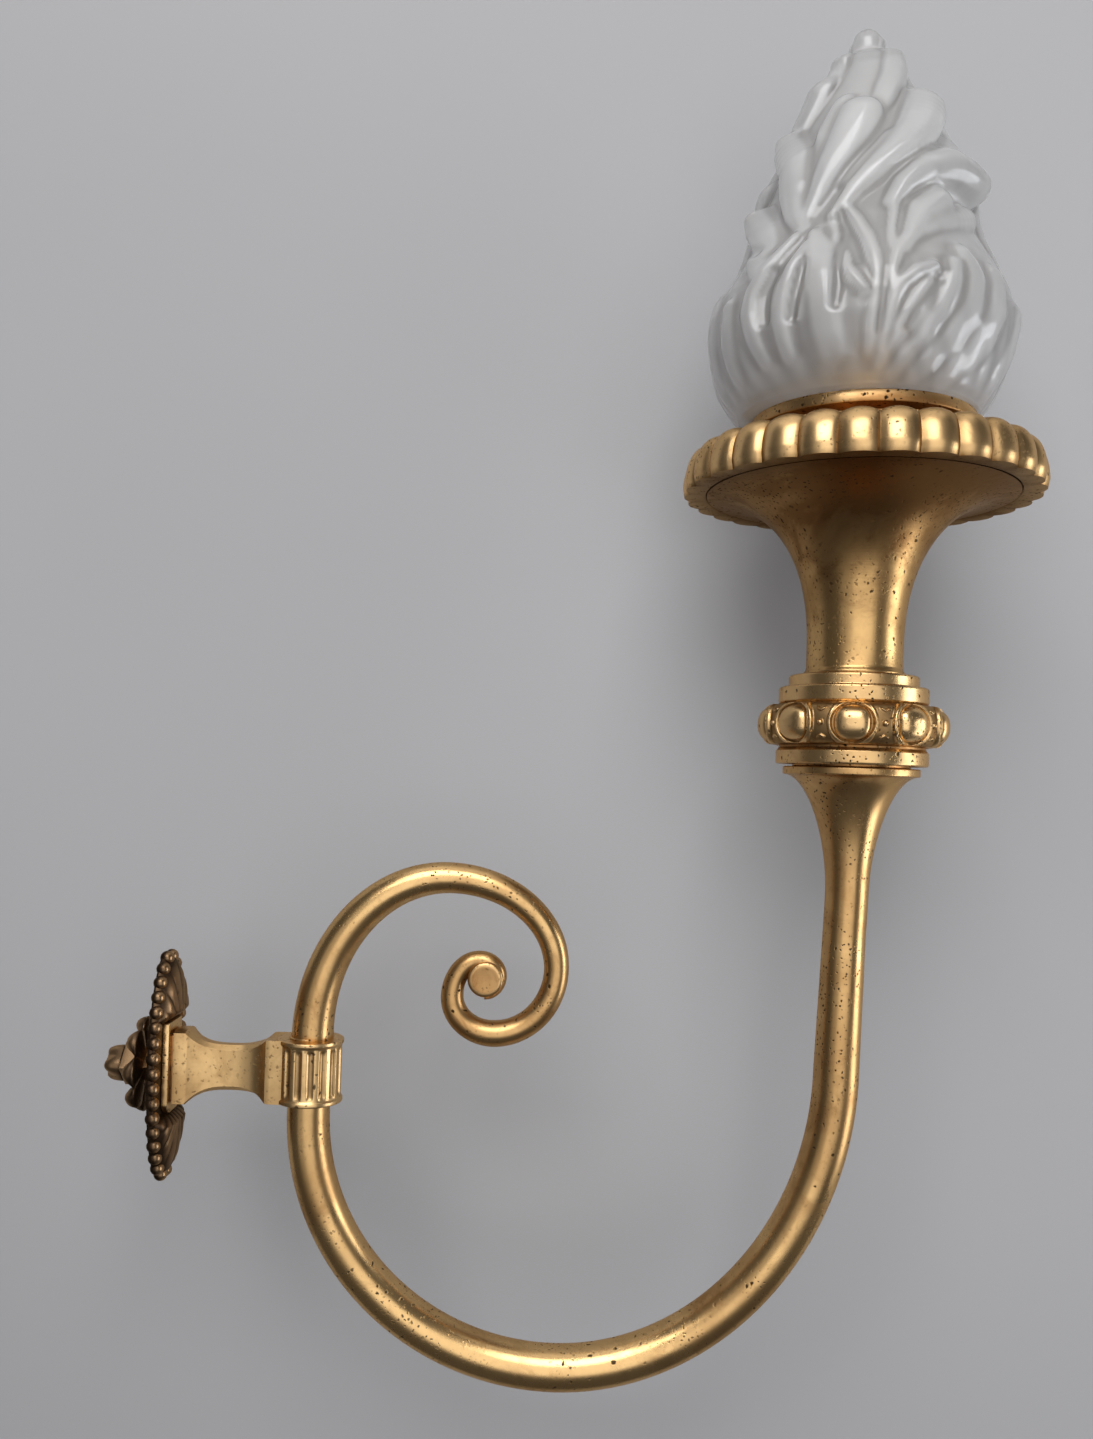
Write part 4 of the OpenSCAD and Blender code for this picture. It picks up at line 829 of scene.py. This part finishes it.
# %% Flame: the glass
FLAME_H = 208
columns, rows = 480, 290
turn = np.linspace(-180, 180, columns, endpoint=False)
level = 0.6 + (FLAME_H - 0.6) * (1 - (1 - np.linspace(0, 1, rows)) ** 1.12)
shape = [np.interp(level, BODY[:, 0], BODY[:, i]) for i in (1, 2)]
for i in (0, 1):
    shape[i] = np.convolve(np.pad(shape[i], 2, mode="edge"), np.ones(5) / 5, "valid")
shape[1][-6:] = np.interp(level[-6:], BODY[:, 0], BODY[:, 2])
A, Z = np.meshgrid(turn[:columns // 2], level)


def pressed(path):
    """For half the glass: 1 on a path and 0 beyond its width, and how far along it that is."""
    (angles, heights, widths), ks = along(path)
    nearest, where = np.full_like(A, 9.0), np.zeros_like(A)
    for a, z, w, k in zip(angles, heights, widths, ks):
        side = np.radians((A - a + 90) % 180 - 90) * shape[1][:, None]
        away = np.hypot(side, Z - z) / (1.12 * w)
        closer = away < nearest
        nearest, where = np.where(closer, away, nearest), np.where(closer, k, where)
    return np.clip(1 - nearest ** 2, 0, 1), where


relief = np.zeros_like(A)
for tall, path in TONGUES:
    dome, where = pressed(path)
    risen = tall * (0.3 + 0.7 * where ** 0.8) * dome ** (0.7 if tall > 10 else 0.85)
    lip = 0.08 * risen * np.clip(1 - np.abs(dome - 0.45) / 0.25, 0, 1)
    relief = (relief ** 6 + (risen + lip) ** 6) ** (1 / 6)
for deep, path in HOLLOWS:
    relief = relief - deep * pressed(path)[0]
relief = np.tile(relief, 2)
A, Z = np.meshgrid(turn, level)
body_radius = shape[1][:, None] + 0 * A
ripple = 0.35 * np.cos(np.radians(A * 34 + Z * 9)) * np.clip((70 - Z) / 60, 0, 1) * np.clip(Z / 12, 0, 1)
relief = relief + ripple
for _ in range(3):
    relief = (relief + np.roll(relief, 1, 1) + np.roll(relief, -1, 1)) / 3
    relief[1:-1] = (relief[:-2] + relief[1:-1] + relief[2:]) / 3
outer_radius = body_radius + relief * np.clip(body_radius / 20, 0, 1) - 1.0 * np.clip((Z - 60) / 30, 0, 1)
# Painted highlight on the crests of the folds and painted shade in the creases, from how far the relief
# stands above its near and its wider surroundings.
fine = relief - sum(np.roll(relief, i, 1) for i in range(-4, 5)) / 9
slow = relief - sum(np.roll(relief, i, 1) for i in range(-16, 17, 2)) / 17
hollow_shade = np.clip(0.36 - slow / 3.0 - fine / 0.6, 0, 1)
theta = np.radians(A) + FRONT
lean = 3 * np.sin(np.radians(200 * Z / FLAME_H))
outer_wall = np.stack([TORCH_X + shape[0][:, None] + outer_radius * np.cos(theta),
                       lean + outer_radius * np.sin(theta), LIP_Z + Z], -1)


def inner_ring(r, z, shift):
    """A round ring of the inner face, its middle moved along X by shift."""
    t = np.radians(turn) + FRONT
    return np.stack([TORCH_X + shift + r * np.cos(t), r * np.sin(t), np.full(columns, LIP_Z + z)], -1)


inside = [inner_ring(0.3, 183, -2)]
inside += [inner_ring(max(r - 5.5, 1), z - 3, -2) for z, _, r in BODY[::-1] if 5 < z < 186]
neck_rings = [inner_ring(r, z, 0) for r, z in [(51.5, 2.5), (51.5, -2.6), (52, -2.9),
                                               (55, -2.9), (55.5, -2.6), (55.5, 0.2)]]
rings = np.concatenate([np.array(inside), np.array(neck_rings), outer_wall])
shade = np.concatenate([np.zeros((len(inside) + len(neck_rings), columns)), hollow_shade])
piece("flame_glass", rings.reshape(-1, 3), capped(len(rings), columns), "shade", glass,
      ["flame_shade"], sharp=80, shade_and_patina=shade)

# %% [markdown]
# ## Parts that keep their CAD shape
# Screws, the threaded tube, the lampholder and the bulb are plain turned parts whose CAD
# shape is already right. They only need a finish, put in their material slots.

# %% Finishes of the carried-over nodes
kept = {
    steel: ["plate_screws", "collar_grub_screw", "threaded_tube", "gallery_nut", "shell_screws",
            "bulb_cap"],
    turned_brass: ["lampholder_cap", "lampholder_skirt", "screw_shell", "centre_contact"],
    dark_brass: ["wall_tie"],
    ceramic: ["contact_block"],
    black: ["bulb_insulator"],
    bulb: ["bulb_glass"],
}
for finish, names in kept.items():
    for name in names:
        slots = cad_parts[name].data.materials
        for i in range(len(slots)):
            slots[i] = finish
print("kept nodes", sum(len(names) for names in kept.values()))

# %% [markdown]
# ## Stage
# The photograph shows the light in front of a plain grey sheet that takes soft shadows.
# The sheet is close behind the piece; seen from behind it is clear, so that it never
# blocks another view. Light comes from a large soft panel high in front, and from a tall
# strip on the right that draws the white line down the upright limb.

# %% Backdrop and floor
def sheet_of(name, corners, colour, see_through):
    mesh = bpy.data.meshes.new(name)
    mesh.from_pydata(corners, [], [tuple(range(len(corners)))])
    thing = bpy.data.objects.new(name, mesh)
    bpy.context.scene.collection.objects.link(thing)
    material, place, shader = blank(name, Roughness=0.9)
    plug(place.noise(1.6, 2).band(0.3, 0.7).mix((*colour, 1), tuple(c * 0.95 for c in colour) + (1,)),
         shader, "Base Color")
    if see_through:
        back = place.make("ShaderNodeNewGeometry", out=6)
        clear = place.make("ShaderNodeBsdfTransparent")
        solid = Wire(place.tree, shader.outputs[0])
        both = place.make("ShaderNodeMixShader", i0=back, i1=solid, i2=clear)
        place.tree.links.new(both.socket, place.tree.nodes["Material Output"].inputs["Surface"])
    mesh.materials.append(material)
    return thing


wall = sheet_of("backdrop", [(-3, 0.115, -3), (3.5, 0.115, -3), (3.5, 0.115, 3), (-3, 0.115, 3)],
                (0.415, 0.413, 0.424), True)
floor = sheet_of("floor", [(-3, -3, -1.5), (3.5, -3, -1.5), (3.5, 3, -1.5), (-3, 3, -1.5)],
                 (0.5, 0.5, 0.5), False)
floor.visible_glossy = False

# %% Lights
def panel(name, aim, azimuth, elevation, distance, width, height, radiance):
    """A soft light panel that faces aim, of a given brightness."""
    data = bpy.data.lights.new(name, "AREA")
    data.shape, data.size, data.size_y = "RECTANGLE", width, height
    data.energy = radiance * math.pi * width * height
    lamp = bpy.data.objects.new(name, data)
    bpy.context.scene.collection.objects.link(lamp)
    a, e = math.radians(azimuth), math.radians(elevation)
    way = Vector((math.sin(a) * math.cos(e), -math.cos(a) * math.cos(e), math.sin(e)))
    lamp.location = Vector(aim) + way * distance
    lamp.rotation_euler = (-way).to_track_quat("-Z", "Y").to_euler()
    return lamp


middle = (0.22, 0, 0.16)
panel("high front panel", middle, -8, 41, 2.0, 1.6, 1.2, 4.8)
panel("low front panel", middle, 5, 1, 2.2, 2.1, 1.9, 0.95)
panel("wide front panel", middle, -6, -5, 2.6, 4.6, 2.4, 0.4)
panel("ceiling panel", middle, 0, 88, 1.8, 2.2, 1.4, 0.9)
strip = panel("right strip", middle, 80, -8, 1.5, 0.6, 1.2, 4.2)
strip.data.color = (0.93, 0.96, 1.0)
world = bpy.data.worlds.new("studio")
bpy.context.scene.world = world
world.use_nodes = True
world.node_tree.nodes["Background"].inputs["Color"].default_value = (0.085, 0.085, 0.088, 1)
bpy.context.scene.view_settings.view_transform = "Standard"
